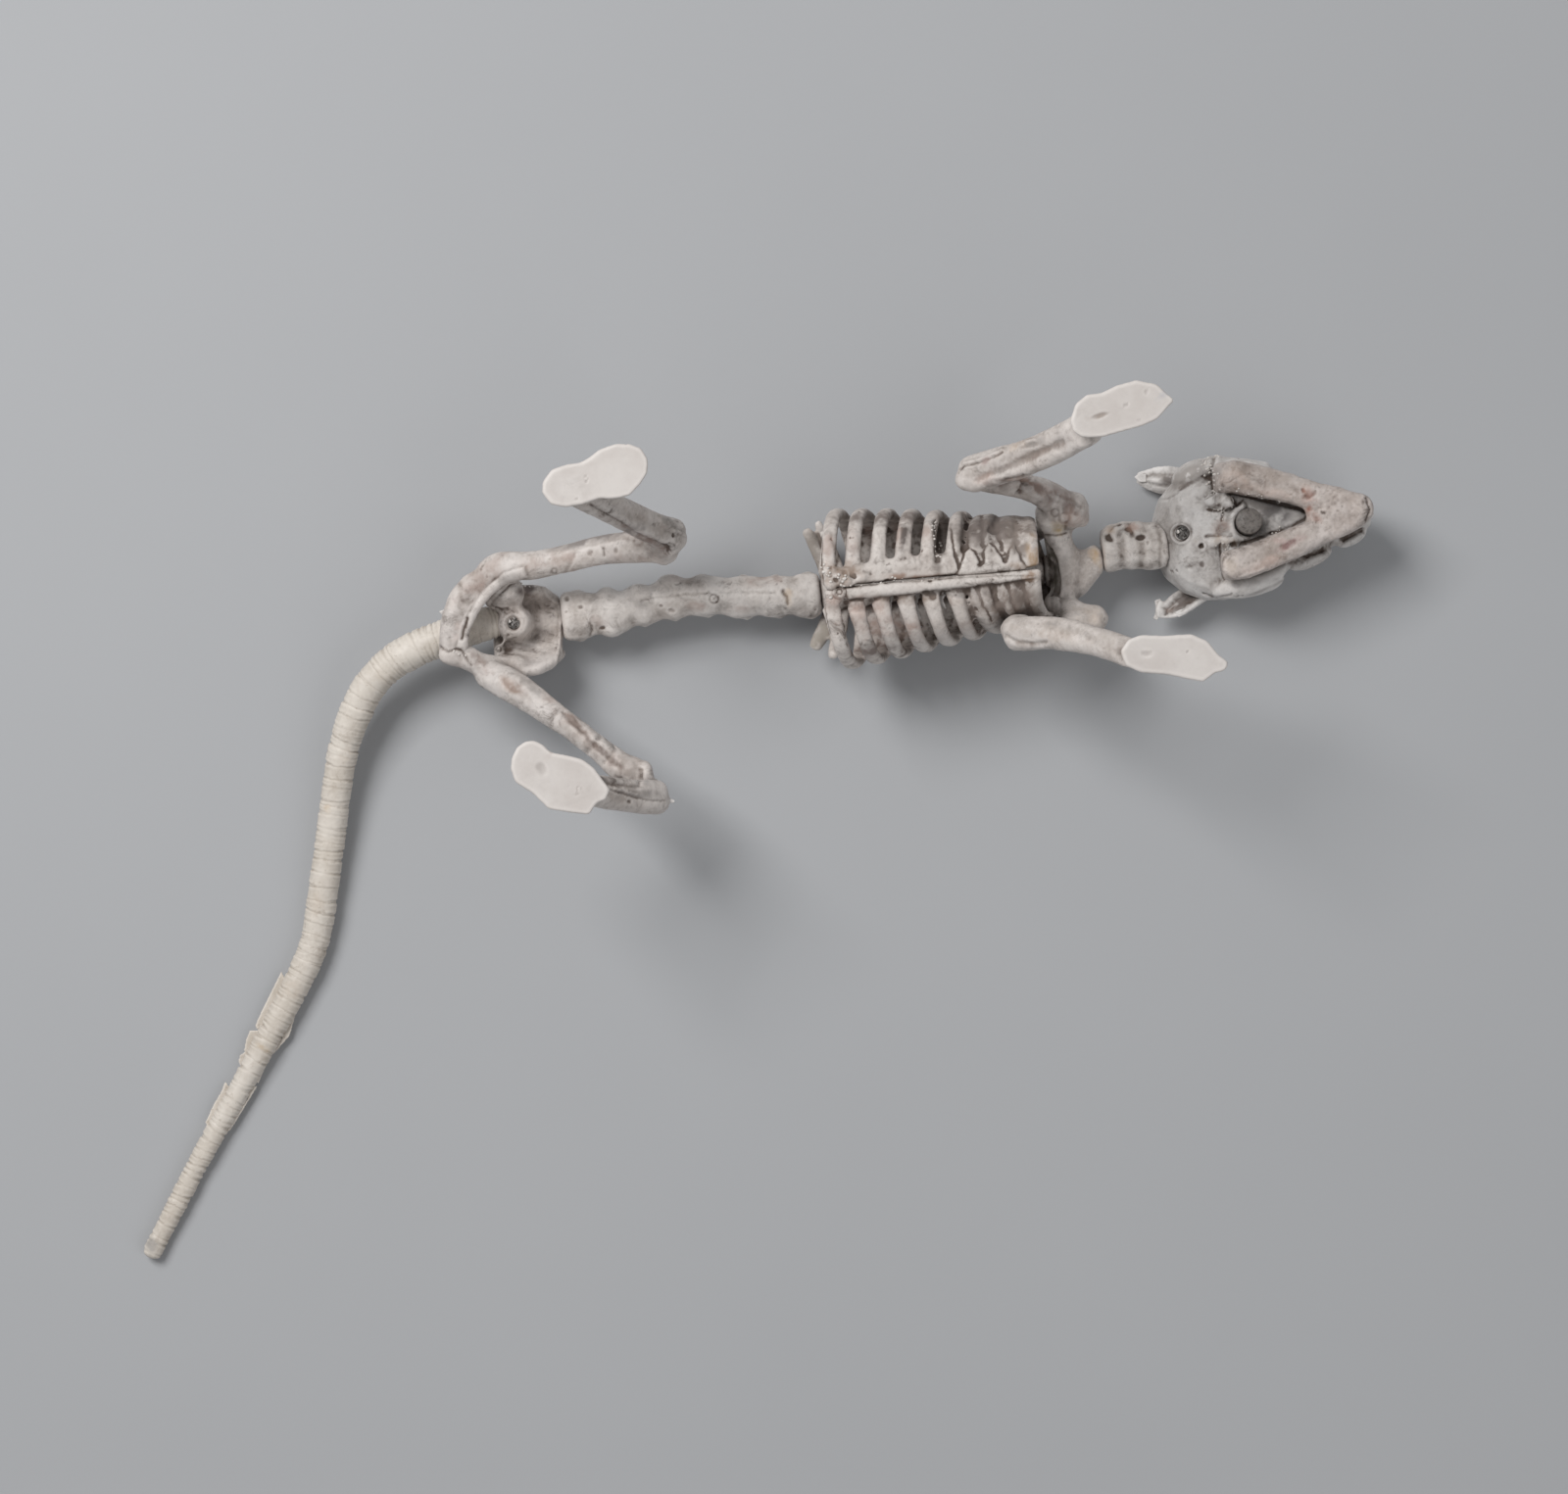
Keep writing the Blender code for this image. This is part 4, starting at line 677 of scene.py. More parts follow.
def smooth_rib(number, side):
    """One rib from the breastbone round the flank to the backbone."""
    x = RIB_FIRST_X + number * RIB_PITCH
    reach = flank_reach(x + RIB_SLANT, side)
    top = BREAST_Z - BREAST_FALL * ((x - BREAST_REAR_X) / BREAST_LENGTH) ** 1.5
    shape = (
        (0.0, 0.2, top - 0.5, 2.2, 1.0),
        (0.12, 0.42, 0.965 * top + 0.035 * FLANK_Z, 1.85, 1.15),
        (0.34, 0.7, 0.83 * top + 0.17 * FLANK_Z, 1.7, 1.25),
        (0.62, 0.9, 0.5 * top + 0.5 * FLANK_Z, 1.75, 1.25),
        (0.95, 0.965, 0.14 * top + 0.86 * FLANK_Z, 1.7, 1.2),
        (1.28, 0.91, 15.6, 1.8, 1.15),
        (1.5, 0.8, 12.0, 2.0, 1.1),
        (1.75, 0.5, 10.1, 2.0, 1.0),
        (1.95, 2.9 / reach, 9.4, 2.0, 0.95),
    )
    rows = [(x + RIB_SLANT * run, side * reach * out, z, thick, width)
            for run, out, z, width, thick in shape]
    return tube(spline(rows, 6), 16, (1, 0, 0))


# The walls between the ribs along the back: share of the run forwards, share of the reach outwards, height.
WALL_ROWS = (
    (1.0, 0.93, 19.0), (1.2, 0.9, 15.5), (1.45, 0.82, 12.3),
    (1.62, 0.6, 10.6), (1.8, 0.36, 9.9), (1.95, 0.17, 9.5),
)
WALL_HOLES = {
    1: (
        ((847.5, 559), (853, 552), (860, 569), (855, 577)),
        ((870, 552), (875.5, 544), (881, 556), (875, 566)),
        ((891, 558), (896.5, 541), (904, 553), (897.5, 567)),
        ((920.5, 556), (924, 535), (932, 535), (929, 560)),
        ((901, 541), (907, 531), (912, 543)),
        ((854, 543), (859, 532), (864, 544)),
        ((946, 560), (950, 540), (955, 541), (953, 562)),
    ),
    -1: (
        ((855, 646), (858, 628), (864, 629), (862, 649)),
        ((866.5, 658), (873, 653), (879.5, 665), (872, 669)),
        ((879, 645), (883, 627), (890, 643)),
        ((894, 657), (902, 650), (904, 662), (896, 665)),
        ((916, 652), (925, 643), (933, 653), (923, 659)),
        ((905.5, 634), (910, 620), (915, 634)),
        ((933.5, 643), (938, 628), (944, 643)),
        ((946, 645), (957, 637), (955, 650)),
    ),
}
WALL_REAR = -23.0
WALL_FRONT = 21.0
WALL_THICK = 0.7


def cage_wall(side):
    """A thin wall between the ribs along the back, with the holes that the photograph shows."""
    shares = np.linspace(0, 1, 64)
    rows = np.array(WALL_ROWS)
    knots = np.linspace(0, 1, len(rows))
    run, out, height = (np.interp(shares, knots, rows[:, k]) for k in range(3))
    bm = bmesh.new()
    grid = []
    for x in np.arange(WALL_REAR, WALL_FRONT, 0.5):
        reach = flank_reach(x + RIB_SLANT, side)
        points = np.column_stack((x + RIB_SLANT * run, side * reach * out, height))
        grid.append([bm.verts.new(point * MM) for point in points])
    for near, far in zip(grid, grid[1:]):
        for k in range(len(shares) - 1):
            corners = (near[k], near[k + 1], far[k + 1], far[k])
            middle = pixels(np.array([sum((v.co for v in corners), Vector()) / 4 / MM]))
            if not any(inside_outline(middle, hole)[0] for hole in WALL_HOLES[side]):
                bm.faces.new(corners)
    return thickened(bm, WALL_THICK, "wall")


# Forms that the solids leave out, by the piece they join
EXTRAS = {
    "jaw_skin": [
        lump(1385.5, 520, 23.6, (3.8, 3.8, 3.1)), lump(1262, 487, 23.8, (4.6, 3.9, 3.2), -10),
    ],
    "skull_skin": [
        # Cheek blocks beside the left jaw branch, and smaller ones on the right
        lump(1272, 597, 16.5, (8.8, 2.9, 4.4), 10), lump(1337, 569.5, 16.5, (5.4, 2.2, 3.4), 24),
        lump(1379, 548.5, 14.0, (3.8, 1.7, 2.8), 28), lump(1281, 478.5, 17.5, (4.4, 1.7, 3.0), -14),
        lump(1330, 495.5, 17.0, (3.6, 1.3, 2.6), -18),
        # Ear capsules: rough lumps
        lump(1245, 501.5, 22.4, (1.3, 1.1, 1.1)), lump(1236, 511, 22.3, (1.7, 1.2, 1.2), 15),
        lump(1252, 511.5, 22.5, (1.8, 1.5, 1.2), -20), lump(1247, 521, 21.7, (0.8, 0.6, 1.0)),
        lump(1239, 553, 21.7, (1.8, 1.3, 0.9), 10), lump(1251, 548.5, 21.7, (1.5, 1.0, 0.8), -15),
        lump(1256, 561, 21.4, (1.0, 0.9, 0.8)),
        # Collar on the left of the peg
        arc(1276, 534.7, 19.5, 21.0, 0.75, 105, 250),
        # The side between the right ear and the jaw
        lump(1219, 484, 13.6, (5.6, 3.2, 5.2), 24), lump(1240, 478, 15.0, (4.0, 3.0, 4.2), 5),
    ],
    "ear_left_skin": [
        # A leaf whose cup is pressed in below, its thick rim, and the flash at its tip
        lump(1205, 614.5, 6.9, (5.9, 2.6, 2.2), 33), lump(1221, 604, 7.4, (3.2, 2.2, 2.2), 25),
        rod(((1231, 608, 9.0, 0.7, 0.9), (1219, 617, 8.6, 0.75, 0.9), (1208, 625, 8.2, 0.75, 0.9),
             (1196, 629, 7.7, 0.6, 0.8), (1183, 629.5, 7.2, 0.4, 0.6))),
        rod(((1183, 630, 7.4, 0.8, 0.6), (1182.5, 622, 7.7, 0.95, 0.6), (1185, 613, 7.6, 0.6, 0.5))),
    ],
    "rib_cage_right_skin": [
        cage_wall(1), *(smooth_rib(number, 1) for number in range(6)),
        lump(846, 583, 39.3, (1.7, 1.5, 1.5)), lump(857, 589, 39.9, (1.9, 1.3, 1.3), 20),
        lump(848, 596, 39.9, (1.5, 1.4, 1.2)), lump(866, 594, 40.0, (2.0, 1.2, 1.1)),
        lump(878, 590, 39.9, (1.5, 1.1, 0.9)),
    ],
    "rib_cage_left_skin": [
        cage_wall(-1), *(smooth_rib(number, -1) for number in range(9)),
        # White flash in the gaps beside the bar
        rod(((906, 608, 36.5, 0.5, 0.5), (908, 620, 35.0, 0.5, 0.4), (911, 636, 32.0, 0.25, 0.3))),
        rod(((932, 606, 36.5, 0.5, 0.5), (934, 618, 35.0, 0.6, 0.4), (939, 634, 31.5, 0.25, 0.3))),
        rod(((958, 602, 36.5, 0.9, 0.5), (961, 610, 35.0, 0.7, 0.4), (964, 620, 33.0, 0.3, 0.3))),
        rod(((983, 600, 36.0, 0.9, 0.5), (987, 612, 34.0, 0.6, 0.4), (993, 626, 31.0, 0.3, 0.3))),
        lump(850, 614, 39.2, (1.8, 1.6, 1.3)),
        # The uneven upper edge of the bar
        *(lump(868 + 14 * k, 600.3 - 0.86 * k, 39.3 - 0.215 * k,
               (1.3 + 0.5 * math.sin(3.1 * k), 0.5, 0.55), 4) for k in range(14)),
    ],
    "chest_spine_skin": [
        # The free ribs again, broader
        rod(((822.5, 540, 10.6, 0.9, 0.7), (825, 545, 10.3, 1.25, 0.8), (831, 558, 9.4, 1.35, 0.85),
             (839, 576, 8.7, 1.4, 0.9), (845, 594, 9.6, 1.4, 1.0))),
        rod(((834, 532.5, 9.2, 0.8, 0.7), (838, 541, 9.0, 1.1, 0.8), (845, 560, 8.6, 1.2, 0.8),
             (850, 585, 9.2, 1.2, 0.9))),
        rod(((829.5, 662, 10.4, 1.0, 0.7), (833, 656, 9.9, 1.6, 0.8), (840, 643, 9.0, 1.75, 0.9),
             (846, 626, 9.2, 1.5, 1.0))),
        rod(((849, 671.5, 13.8, 1.0, 0.7), (851, 664, 12.6, 1.4, 0.8), (853, 648, 10.0, 1.4, 0.9),
             (852, 630, 9.4, 1.3, 0.9))),
    ],
    "lumbar_skin": [
        rod(((577, 629, 11.6, 4.1, 4.2), (612, 625, 11.6, 4.0, 4.3), (650, 617, 11.8, 3.6, 4.2),
             (700, 608, 11.8, 3.5, 4.1), (750, 608, 11.8, 3.7, 4.1), (800, 609, 11.8, 4.1, 4.1),
             (834, 609, 11.8, 4.4, 4.1))),
        lump(619, 610, 11.4, (2.6, 2.6, 3.4)), lump(624, 641, 11.4, (2.6, 2.2, 3.4)),
        lump(651, 604, 11.6, (2.6, 1.9, 3.2)), lump(657, 630, 11.6, (3.0, 2.0, 3.2)),
        lump(684, 596, 11.6, (3.4, 2.3, 3.2)), lump(688, 624, 11.6, (2.6, 2.0, 3.2)),
        lump(716, 596, 11.6, (3.0, 2.3, 3.2)), lump(720, 620, 11.6, (2.8, 2.0, 3.2)),
    ],
    "hindquarters_skin": [
        # Right knee, left knee and its plate, spur
        lump(686, 549, 30.6, (3.4, 3.0, 3.6), -20), lump(676, 553, 31.5, (4.4, 3.4, 3.2), -35),
        lump(659.5, 792.5, 31.5, (1.7, 3.6, 3.2)), lump(645, 787, 31.0, (4.2, 3.4, 3.2), -35),
        lump(668, 815, 33.6, (3.4, 2.7, 3.1), -8),
        # Hip block above the screw, mound round it, small ring lump, bar lumps on the left
        lump(515, 611, 16.6, (4.6, 2.8, 3.2), 10), lump(505, 606, 17.2, (2.4, 2.2, 2.4), 50),
        arc(524, 637.5, 9.4, 17.6, 0.42, 5, 175), lump(508.9, 662.4, 15.0, (1.1, 1.1, 1.0)),
        lump(480, 668, 22.6, (1.7, 1.9, 1.6), -45), lump(494, 684, 21.9, (2.6, 1.9, 1.7), -50),
        lump(505, 692, 21.9, (2.2, 2.2, 2.0)), lump(459, 670, 24.0, (2.6, 1.9, 1.8), -20),
    ],
    "forequarters_skin": [
        # Right elbow and shoulder, left elbow and shoulder
        lump(990, 487, 34.6, (3.6, 3.0, 3.6), 25), lump(1031, 498, 30.0, (2.4, 1.9, 2.0)),
        lump(1051, 499, 28.6, (1.8, 1.9, 2.0)), lump(1061, 500, 28.0, (1.5, 1.6, 1.8)),
        lump(1070, 526, 19.2, (3.1, 4.2, 3.6)), lump(1092, 524, 21.0, (3.6, 3.4, 3.6), -50),
        lump(1040, 643, 34.6, (4.3, 3.7, 3.6), -5), lump(1110, 634, 20.4, (4.0, 3.6, 3.6), -25),
        lump(1096, 626, 19.4, (4.4, 3.2, 3.4), -15), lump(1072, 617, 17.4, (1.5, 2.6, 3.0)),
    ],
    "neck_skin": [
        lump(1134, 543, 14.4, (2.0, 1.8, 2.4), 20), lump(1147, 538, 14.6, (1.8, 1.4, 2.2)),
        lump(1160, 538, 14.8, (2.2, 1.5, 2.4)), lump(1176, 540, 15.0, (2.0, 1.7, 2.4)),
    ],
}

# Colours of the stains; the shade colour is painted shade, and the wash colour also paints shade in
# recesses
WASH_AND_SHADE = (0.105, 0.078, 0.064)
OCHRE = (0.53, 0.35, 0.17)
TAN = (0.44, 0.33, 0.235)
RUST = (0.27, 0.105, 0.07)
PINK = (0.36, 0.255, 0.215)
PAINTED_SHADE = (0.27, 0.245, 0.23)

# What the photograph shows on each piece
MARKS = {}
MARKS["skull_skin"] = dict(
    areas=(
        # The sunken rough strip at the right edge, and the left edge's block
        (((1160, 540), (1172, 527), (1181, 511), (1192, 510), (1210, 497), (1228, 489), (1240, 489),
         (1240, 448), (1180, 448), (1150, 500)), 1.6, -0.4, 0.5),
        (((1238, 604), (1248, 594), (1252, 590), (1275, 590), (1300, 580), (1313, 575), (1311, 590),
         (1290, 600), (1262, 612), (1238, 612)), 1.5, 0.18, 0.5),
    ),
    lines=(
        # Slot beside the right jaw branch, its end, and the left edge of the palate
        (((1256, 502), (1280, 506), (1305, 512), (1331, 520)), 3.2, -1.1, 1.2),
        (((1331, 520), (1336, 525), (1331, 531), (1318, 537), (1297, 545)), 1.8, -0.4, 0.9),
        (((1297, 545), (1280, 551), (1266, 556)), 2.2, -0.5, 0.9),
        (((1239, 466), (1235, 480), (1238, 498)), 2.6, -0.6, 0.9),
        (((1233, 520), (1243, 522), (1251, 521)), 1.2, -0.4, 1.1),
        (((1249, 519), (1247, 531)), 1.3, -0.4, 0.9),
        (((1243, 498), (1236, 505), (1230, 508)), 1.3, -0.4, 0.6),
        (((1258, 509), (1262, 515), (1268, 511)), 1.6, -0.4, 0.9),
        (((1245, 556), (1246, 570), (1249, 590)), 1.3, -0.4, 0.8),
        (((1231, 547), (1243, 546), (1256, 546)), 2.0, -0.3, 0.1),
        (((1318, 574), (1333, 568), (1350, 561)), 3.6, -1.3, 0.7),
        (((1369, 552), (1379, 547), (1390, 542)), 2.6, -0.9, 0.6),
        (((1228, 606), (1240, 610), (1256, 606)), 1.3, -0.2, 0.35),
    ),
    spots=(
        (1226, 557.5, 2.3, 2.6, 0, -1.2, 1.6), (1258, 556, 3.0, 2.2, 0, -0.9, 1.5),
        (1214, 578.5, 4.5, 3.2, 0, -0.3, 0.4), (1226.5, 576, 3.0, 3.4, 0, -0.35, 0.6),
        (1246, 539, 5.5, 6.5, 0, -0.4, 0.35), (1204, 495, 3.5, 2.0, -30, -0.2, 0.7),
        (1228, 487, 2.0, 1.5, 0, -0.2, 0.6), (1271, 516, 2.0, 5.0, -20, -0.3, 0.3),
    ),
    rings=((1204.8, 544.7, 9.4, 1.3, 0.25, 0.1), (1204.8, 544.7, 7.4, 1.0, -0.2, 0.7)),
    stains=(
        # The first two are a painted shadow that the peg casts on the palate; stains in the shade colour
        # are painted shade
        (1303, 524, 20, 12, 15, (0.17, 0.155, 0.15), 1.1),
        (1291, 541, 7, 15, 35, (0.1, 0.09, 0.085), 1.1), (1247, 539, 10, 10, 0, PINK, 0.6),
        (1246, 553, 15, 6, 0, TAN, 0.7), (1207, 487, 36, 10, -30, (0.38, 0.345, 0.32), 7.0),
        (1248, 598, 12, 8, 0, PAINTED_SHADE, 0.6), (1175, 515, 8, 24, 32, PAINTED_SHADE, 0.9),
        (1220, 577, 14, 6, 0, PAINTED_SHADE, 0.5), (1262, 578, 9, 13, 0, (0.4, 0.36, 0.32), 0.4),
        (1196, 562, 16, 16, 0, PAINTED_SHADE, 0.2), (1195, 594, 22, 7, 42, PAINTED_SHADE, 0.7),
    ),
)
MARKS["jaw_skin"] = dict(
    lines=(
        (((1330, 500), (1336, 508), (1342, 503)), 2.0, -0.25, 0.3),
        (((1256, 505), (1280, 509), (1305, 516)), 1.8, -0.3, 0.7),
        (((1394, 508), (1398, 519), (1394, 532)), 1.5, -0.3, 0.6),
        (((1309, 557), (1320, 552)), 3.0, -0.3, 0.1),
        (((1246, 580), (1262, 590), (1290, 580)), 2.0, 0.2, 0.0),
    ),
    spots=(
        (1333, 507, 4, 3, 0, -0.35, 0.35), (1350, 523, 3, 2, 0, -0.2, 0.35),
        (1272, 545, 3, 2, 0, -0.2, 0.5),
    ),
    stains=(
        (1334, 506, 8, 8, 0, RUST, 0.6), (1328, 501, 4, 3, 0, RUST, 1.1), (1340, 512, 5, 3, 0, RUST, 1.0),
        (1336, 519, 3, 3, 0, RUST, 0.9), (1341, 527, 9, 4, 30, RUST, 0.5),
        (1290, 490, 44, 13, 14, (0.34, 0.28, 0.24), 0.6),
        (1300, 562, 46, 14, -26, (0.34, 0.285, 0.25), 0.6),
        (1375, 520, 18, 18, 0, (0.42, 0.35, 0.31), 0.45),
        (1316, 556, 13, 4.5, -28, (0.22, 0.13, 0.12), 1.2), (1306, 552, 6, 3, 0, (0.3, 0.18, 0.17), 0.45),
        (1264, 491, 15, 9, 15, (0.43, 0.31, 0.25), 0.6), (1300, 503, 17, 5, 15, (0.42, 0.3, 0.25), 0.4),
        (1257, 578, 7, 10, 0, (0.42, 0.34, 0.26), 0.35), (1292, 575, 20, 5, -22, PINK, 0.6),
        # Painted shade
        (1243, 479, 5, 14, 8, PAINTED_SHADE, 0.55),
    ),
)
MARKS["ear_right_skin"] = dict(
    lines=(
        (((1161, 487), (1176, 484), (1195, 484)), 3.4, -0.5, 0.12),
        (((1163, 490), (1174, 495), (1190, 497)), 3.0, -0.3, 0.1),
    ),
    stains=(
        (1196, 488, 12, 9, 0, (0.11, 0.09, 0.08), 1.3), (1176, 486, 18, 4, -4, (0.2, 0.17, 0.15), 0.9),
    ),
)
MARKS["ear_left_skin"] = dict(
    areas=(
        (((1189, 628), (1188, 621), (1197, 610), (1208, 602), (1222, 601), (1226, 606), (1214, 615),
         (1204, 623), (1196, 626.5)), 1.5, -1.5, 0.3),
    ),
    spots=((1197, 622, 4, 1.6, -30, -0.2, 0.6),),
    stains=(
        # The first two are painted shade inside the ear's cup
        (1205, 613, 19, 7, -33, (0.17, 0.14, 0.125), 1.5),
        (1218, 606, 10, 6, -20, (0.05, 0.04, 0.035), 1.6), (1193, 621, 6, 4, -33, PINK, 0.5),
    ),
)
MARKS["neck_skin"] = dict(
    spots=(
        (1130.5, 549.5, 5.5, 3.2, 25, -0.8, 1.5), (1163.5, 548.5, 4.5, 2.6, 0, -0.7, 1.3),
        (1150, 541, 2.5, 2.5, 0, -0.3, 0.6),
    ),
    lines=(
        (((1164, 552), (1165, 566), (1165, 582)), 4.6, -0.28, 0.0),
        (((1131, 545), (1137, 536), (1147, 532)), 3.0, -0.5, 0.15),
        (((1151, 528), (1153, 540), (1155, 546)), 3.0, -0.5, 0.15),
        (((1145, 556), (1146, 570), (1144, 582)), 4.6, -0.22, 0.0),
        (((1181, 535), (1185, 556), (1184, 580)), 3.0, -0.2, 0.04),
    ),
    stains=(
        (1124, 571, 4, 12, 0, OCHRE, 0.5), (1133, 541, 7, 5, 20, (0.35, 0.22, 0.13), 0.5),
        (1158, 537, 8, 5, 0, (0.45, 0.27, 0.2), 0.5),
    ),
)
MARKS["forequarters_skin"] = dict(
    areas=(
        # The flat plate beside the right shoulder
        (((1055, 520), (1061, 513), (1082, 514), (1086, 530), (1085, 545), (1060, 546), (1056, 534)),
         1.5, 0.3, 0.25),
        # The sunken olive face behind the breastplate, and the small rim below it
        (((1067, 556), (1073, 561), (1079, 574), (1082, 592), (1081, 610), (1070, 607), (1067.5, 588)),
         1.0, -0.8, 0.5),
        (((1074, 606), (1081, 606), (1082, 628), (1075, 630)), 1.0, 0.35, 0.3),
    ),
    lines=(
        (((979.8, 479.5), (984.8, 475.6), (999.6, 472), (1009.5, 468.7), (1022.3, 461.7)),
         1.4, -0.28, 0.4),
        (((984, 473), (999, 469.6), (1010, 466), (1022, 459.5)), 1.4, 0.3, -0.2),
        (((998.6, 489.4), (1028, 476.6), (1064, 459.8), (1081.6, 452.9)), 5.0, -0.6, 0.02),
        (((1047, 450.8), (1055, 449.6)), 1.4, 0.3, -0.3),
        (((1026, 491), (1040, 488.5), (1052, 488)), 2.6, -0.5, 0.3),
        (((1044, 487), (1043, 494), (1041, 500)), 2.6, -0.45, 0.2),
        (((1056, 492), (1062, 504)), 2.6, -0.4, 0.15), (((1067, 499), (1072, 509)), 2.6, -0.4, 0.1),
        (((1078, 504), (1092, 510), (1103, 517)), 3.0, -0.35, 0.05),
        (((1060, 545.5), (1075, 546.5), (1089, 545)), 1.4, -0.3, 0.3),
        (((1026, 649), (1038, 655), (1052, 657), (1066, 656)), 2.6, -0.4, 0.12),
        (((1040, 632), (1062, 636), (1085, 642), (1110, 650)), 6.0, -0.4, 0.0),
    ),
    spots=(
        (1051, 454.5, 9, 3, -12, -0.3, 0.25), (1048, 492.5, 5, 4.5, 0, -0.5, 0.5),
        (1040, 503, 4, 2.5, 0, -0.4, 0.6), (1061, 503, 3, 3, 0, -0.3, 0.5),
        (1098.5, 524, 2.5, 2.5, 0, -0.3, 0.5), (1088, 536, 5, 4, 0, -0.35, 0.3),
        (1060, 547, 1.4, 2.5, 0, -0.5, 1.3),
    ),
    rings=((1076.7, 523, 3.8, 1.6, -0.2, 0.2), (1086, 529, 5.0, 1.6, -0.2, 0.15)),
    stains=(
        # Stains in the shade colour are painted shade; (1103, 440) is a painted shadow of the foot and
        # (1075, 582) is painted shade in the gap behind the breastplate
        (1078.7, 540, 8, 6, 0, (0.45, 0.33, 0.17), 0.8), (1119, 571, 6, 12, 0, OCHRE, 0.8),
        (1025, 493, 22, 5, 4, (0.22, 0.17, 0.15), 1.0), (1050, 496, 20, 8, 14, (0.3, 0.21, 0.17), 1.2),
        (1064, 501, 9, 6, 0, (0.25, 0.19, 0.165), 0.7), (1084, 513, 26, 13, 35, (0.26, 0.195, 0.17), 1.3),
        (1095, 530, 13, 9, 20, PINK, 0.7), (1070, 530, 10, 9, 0, PAINTED_SHADE, 0.3),
        (1009, 469, 12, 4, -20, (0.3, 0.2, 0.18), 0.8), (1042, 470, 42, 4, -23, (0.3, 0.24, 0.21), 0.9),
        (1004, 488, 12, 5, -23, PINK, 0.5), (1050, 455, 40, 5, -23, PAINTED_SHADE, 0.5),
        (1037, 455, 14, 4, -22, TAN, 0.5), (1051, 454, 9, 4, -12, PAINTED_SHADE, 0.9),
        (1103, 440, 8, 14, -30, PAINTED_SHADE, 0.45), (1095, 575, 16, 22, 0, PAINTED_SHADE, 0.3),
        (1120, 632, 8, 7, 0, TAN, 0.3), (1075, 582, 6, 26, -4, (0.14, 0.125, 0.1), 1.5),
        (1108, 628, 16, 10, 0, (0.45, 0.37, 0.3), 0.4), (1082, 644, 60, 14, 9, (0.45, 0.4, 0.36), 0.9),
        (1082, 650, 30, 6, 8, (0.33, 0.27, 0.23), 0.8), (1046, 657, 14, 4, 0, (0.3, 0.25, 0.22), 0.9),
        (1075, 636, 34, 4, 6, PAINTED_SHADE, 0.6), (1143, 665, 5, 4, 0, WASH_AND_SHADE, 0.6),
    ),
)
MARKS["rib_cage_right_skin"] = dict(
    areas=(
        # The plate, whose front edge has scallops where the ribs run under it
        (((866, 606), (905, 603), (945, 598), (970, 595), (979, 583), (982, 574), (985, 565), (989, 561),
         (993, 564), (997, 571), (1001, 577), (1005, 574), (1005, 563), (1009, 556), (1014, 559),
         (1019, 566), (1024, 573), (1029, 571), (1031, 562), (1035, 557), (1039, 565), (1041, 573),
         (1048, 580), (1056, 587), (1056, 594), (1020, 595), (975, 596), (930, 602), (880, 608)),
         1.0, 0.55, 1.1),
        (((838, 548), (846, 545), (850, 560), (852, 578), (868, 582), (866, 602), (838, 603)),
         1.6, 0.25, 0.5),
    ),
    lines=(
        (((984, 524), (986, 545), (985, 558)), 3.6, -0.35, 0.4),
        (((1001, 524), (1003, 545), (1003, 556)), 3.6, -0.4, 0.4),
        (((1017, 524), (1018, 542), (1022, 558)), 3.6, -0.4, 0.4),
        (((1035, 524), (1036, 545)), 3.6, -0.3, 0.3),
        (((970, 540), (974, 563), (979, 580)), 1.6, -0.5, 0.9),
        (((955, 532), (958, 550), (957, 572)), 3.2, -0.7, 0.9),
        (((838, 548), (838.5, 575), (840, 600)), 1.6, -0.3, 0.6),
        (((862, 602), (885, 597.5), (894, 599), (908, 594), (925, 593.5), (940, 591.5), (975, 588.5)),
         1.7, -0.2, 0.4),
        (((975, 588.5), (1020, 587.5), (1056, 588)), 1.1, -0.15, 0.15),
        (((852, 546), (854, 560), (861, 575)), 1.6, 0.0, 0.4),
        (((875, 546), (877, 565), (880, 578)), 1.6, 0.0, 0.4),
        (((900, 548), (900, 565), (902, 575)), 1.6, 0.0, 0.4),
    ),
    spots=(
        (853, 592, 3.0, 2.4, 0, -0.4, 0.5), (862, 585, 2.8, 2.4, 0, -0.4, 0.5),
        (872, 588, 2.5, 2.8, 0, -0.3, 0.4), (848, 580, 2.4, 2.4, 0, -0.3, 0.4),
        (856, 600, 3.0, 2.0, 0, -0.3, 0.5), (1001, 576, 4, 2.6, 0, -0.4, 1.4),
        (1026, 573, 3, 2.4, 0, -0.4, 1.3), (1013, 540, 6, 5, 0, -0.6, 0.5),
        (994, 541, 5, 4, 0, -0.5, 0.4), (1031, 545, 5, 4, 0, -0.5, 0.4), (905, 593, 2.5, 2, 0, -0.3, 1.0),
    ),
    stains=(
        (1014, 541, 46, 18, 0, (0.17, 0.14, 0.125), 1.7), (1042, 545, 18, 26, 0, (0.24, 0.2, 0.175), 1.5),
        (956, 552, 7, 26, 0, (0.13, 0.105, 0.09), 1.5), (922, 546, 5, 20, 6, (0.1, 0.08, 0.07), 1.5),
        (1054, 570, 6, 22, 0, (0.4, 0.28, 0.18), 1.3), (1045, 581, 12, 5, 20, (0.28, 0.2, 0.15), 0.8),
        (940, 590, 44, 3.5, 3, (0.3, 0.2, 0.155), 0.9), (854, 588, 22, 16, 0, (0.33, 0.25, 0.2), 1.1),
        (845, 560, 6, 16, 0, PINK, 0.6), (870, 555, 5, 14, 0, PINK, 0.4), (886, 545, 5, 10, 0, PINK, 0.6),
        (915, 545, 5, 14, 0, PINK, 0.6), (945, 545, 6, 14, 0, PINK, 0.6),
        (960, 530, 24, 8, 0, (0.2, 0.17, 0.155), 0.8), (900, 528, 56, 7, 0, (0.22, 0.18, 0.16), 1.2),
    ),
)
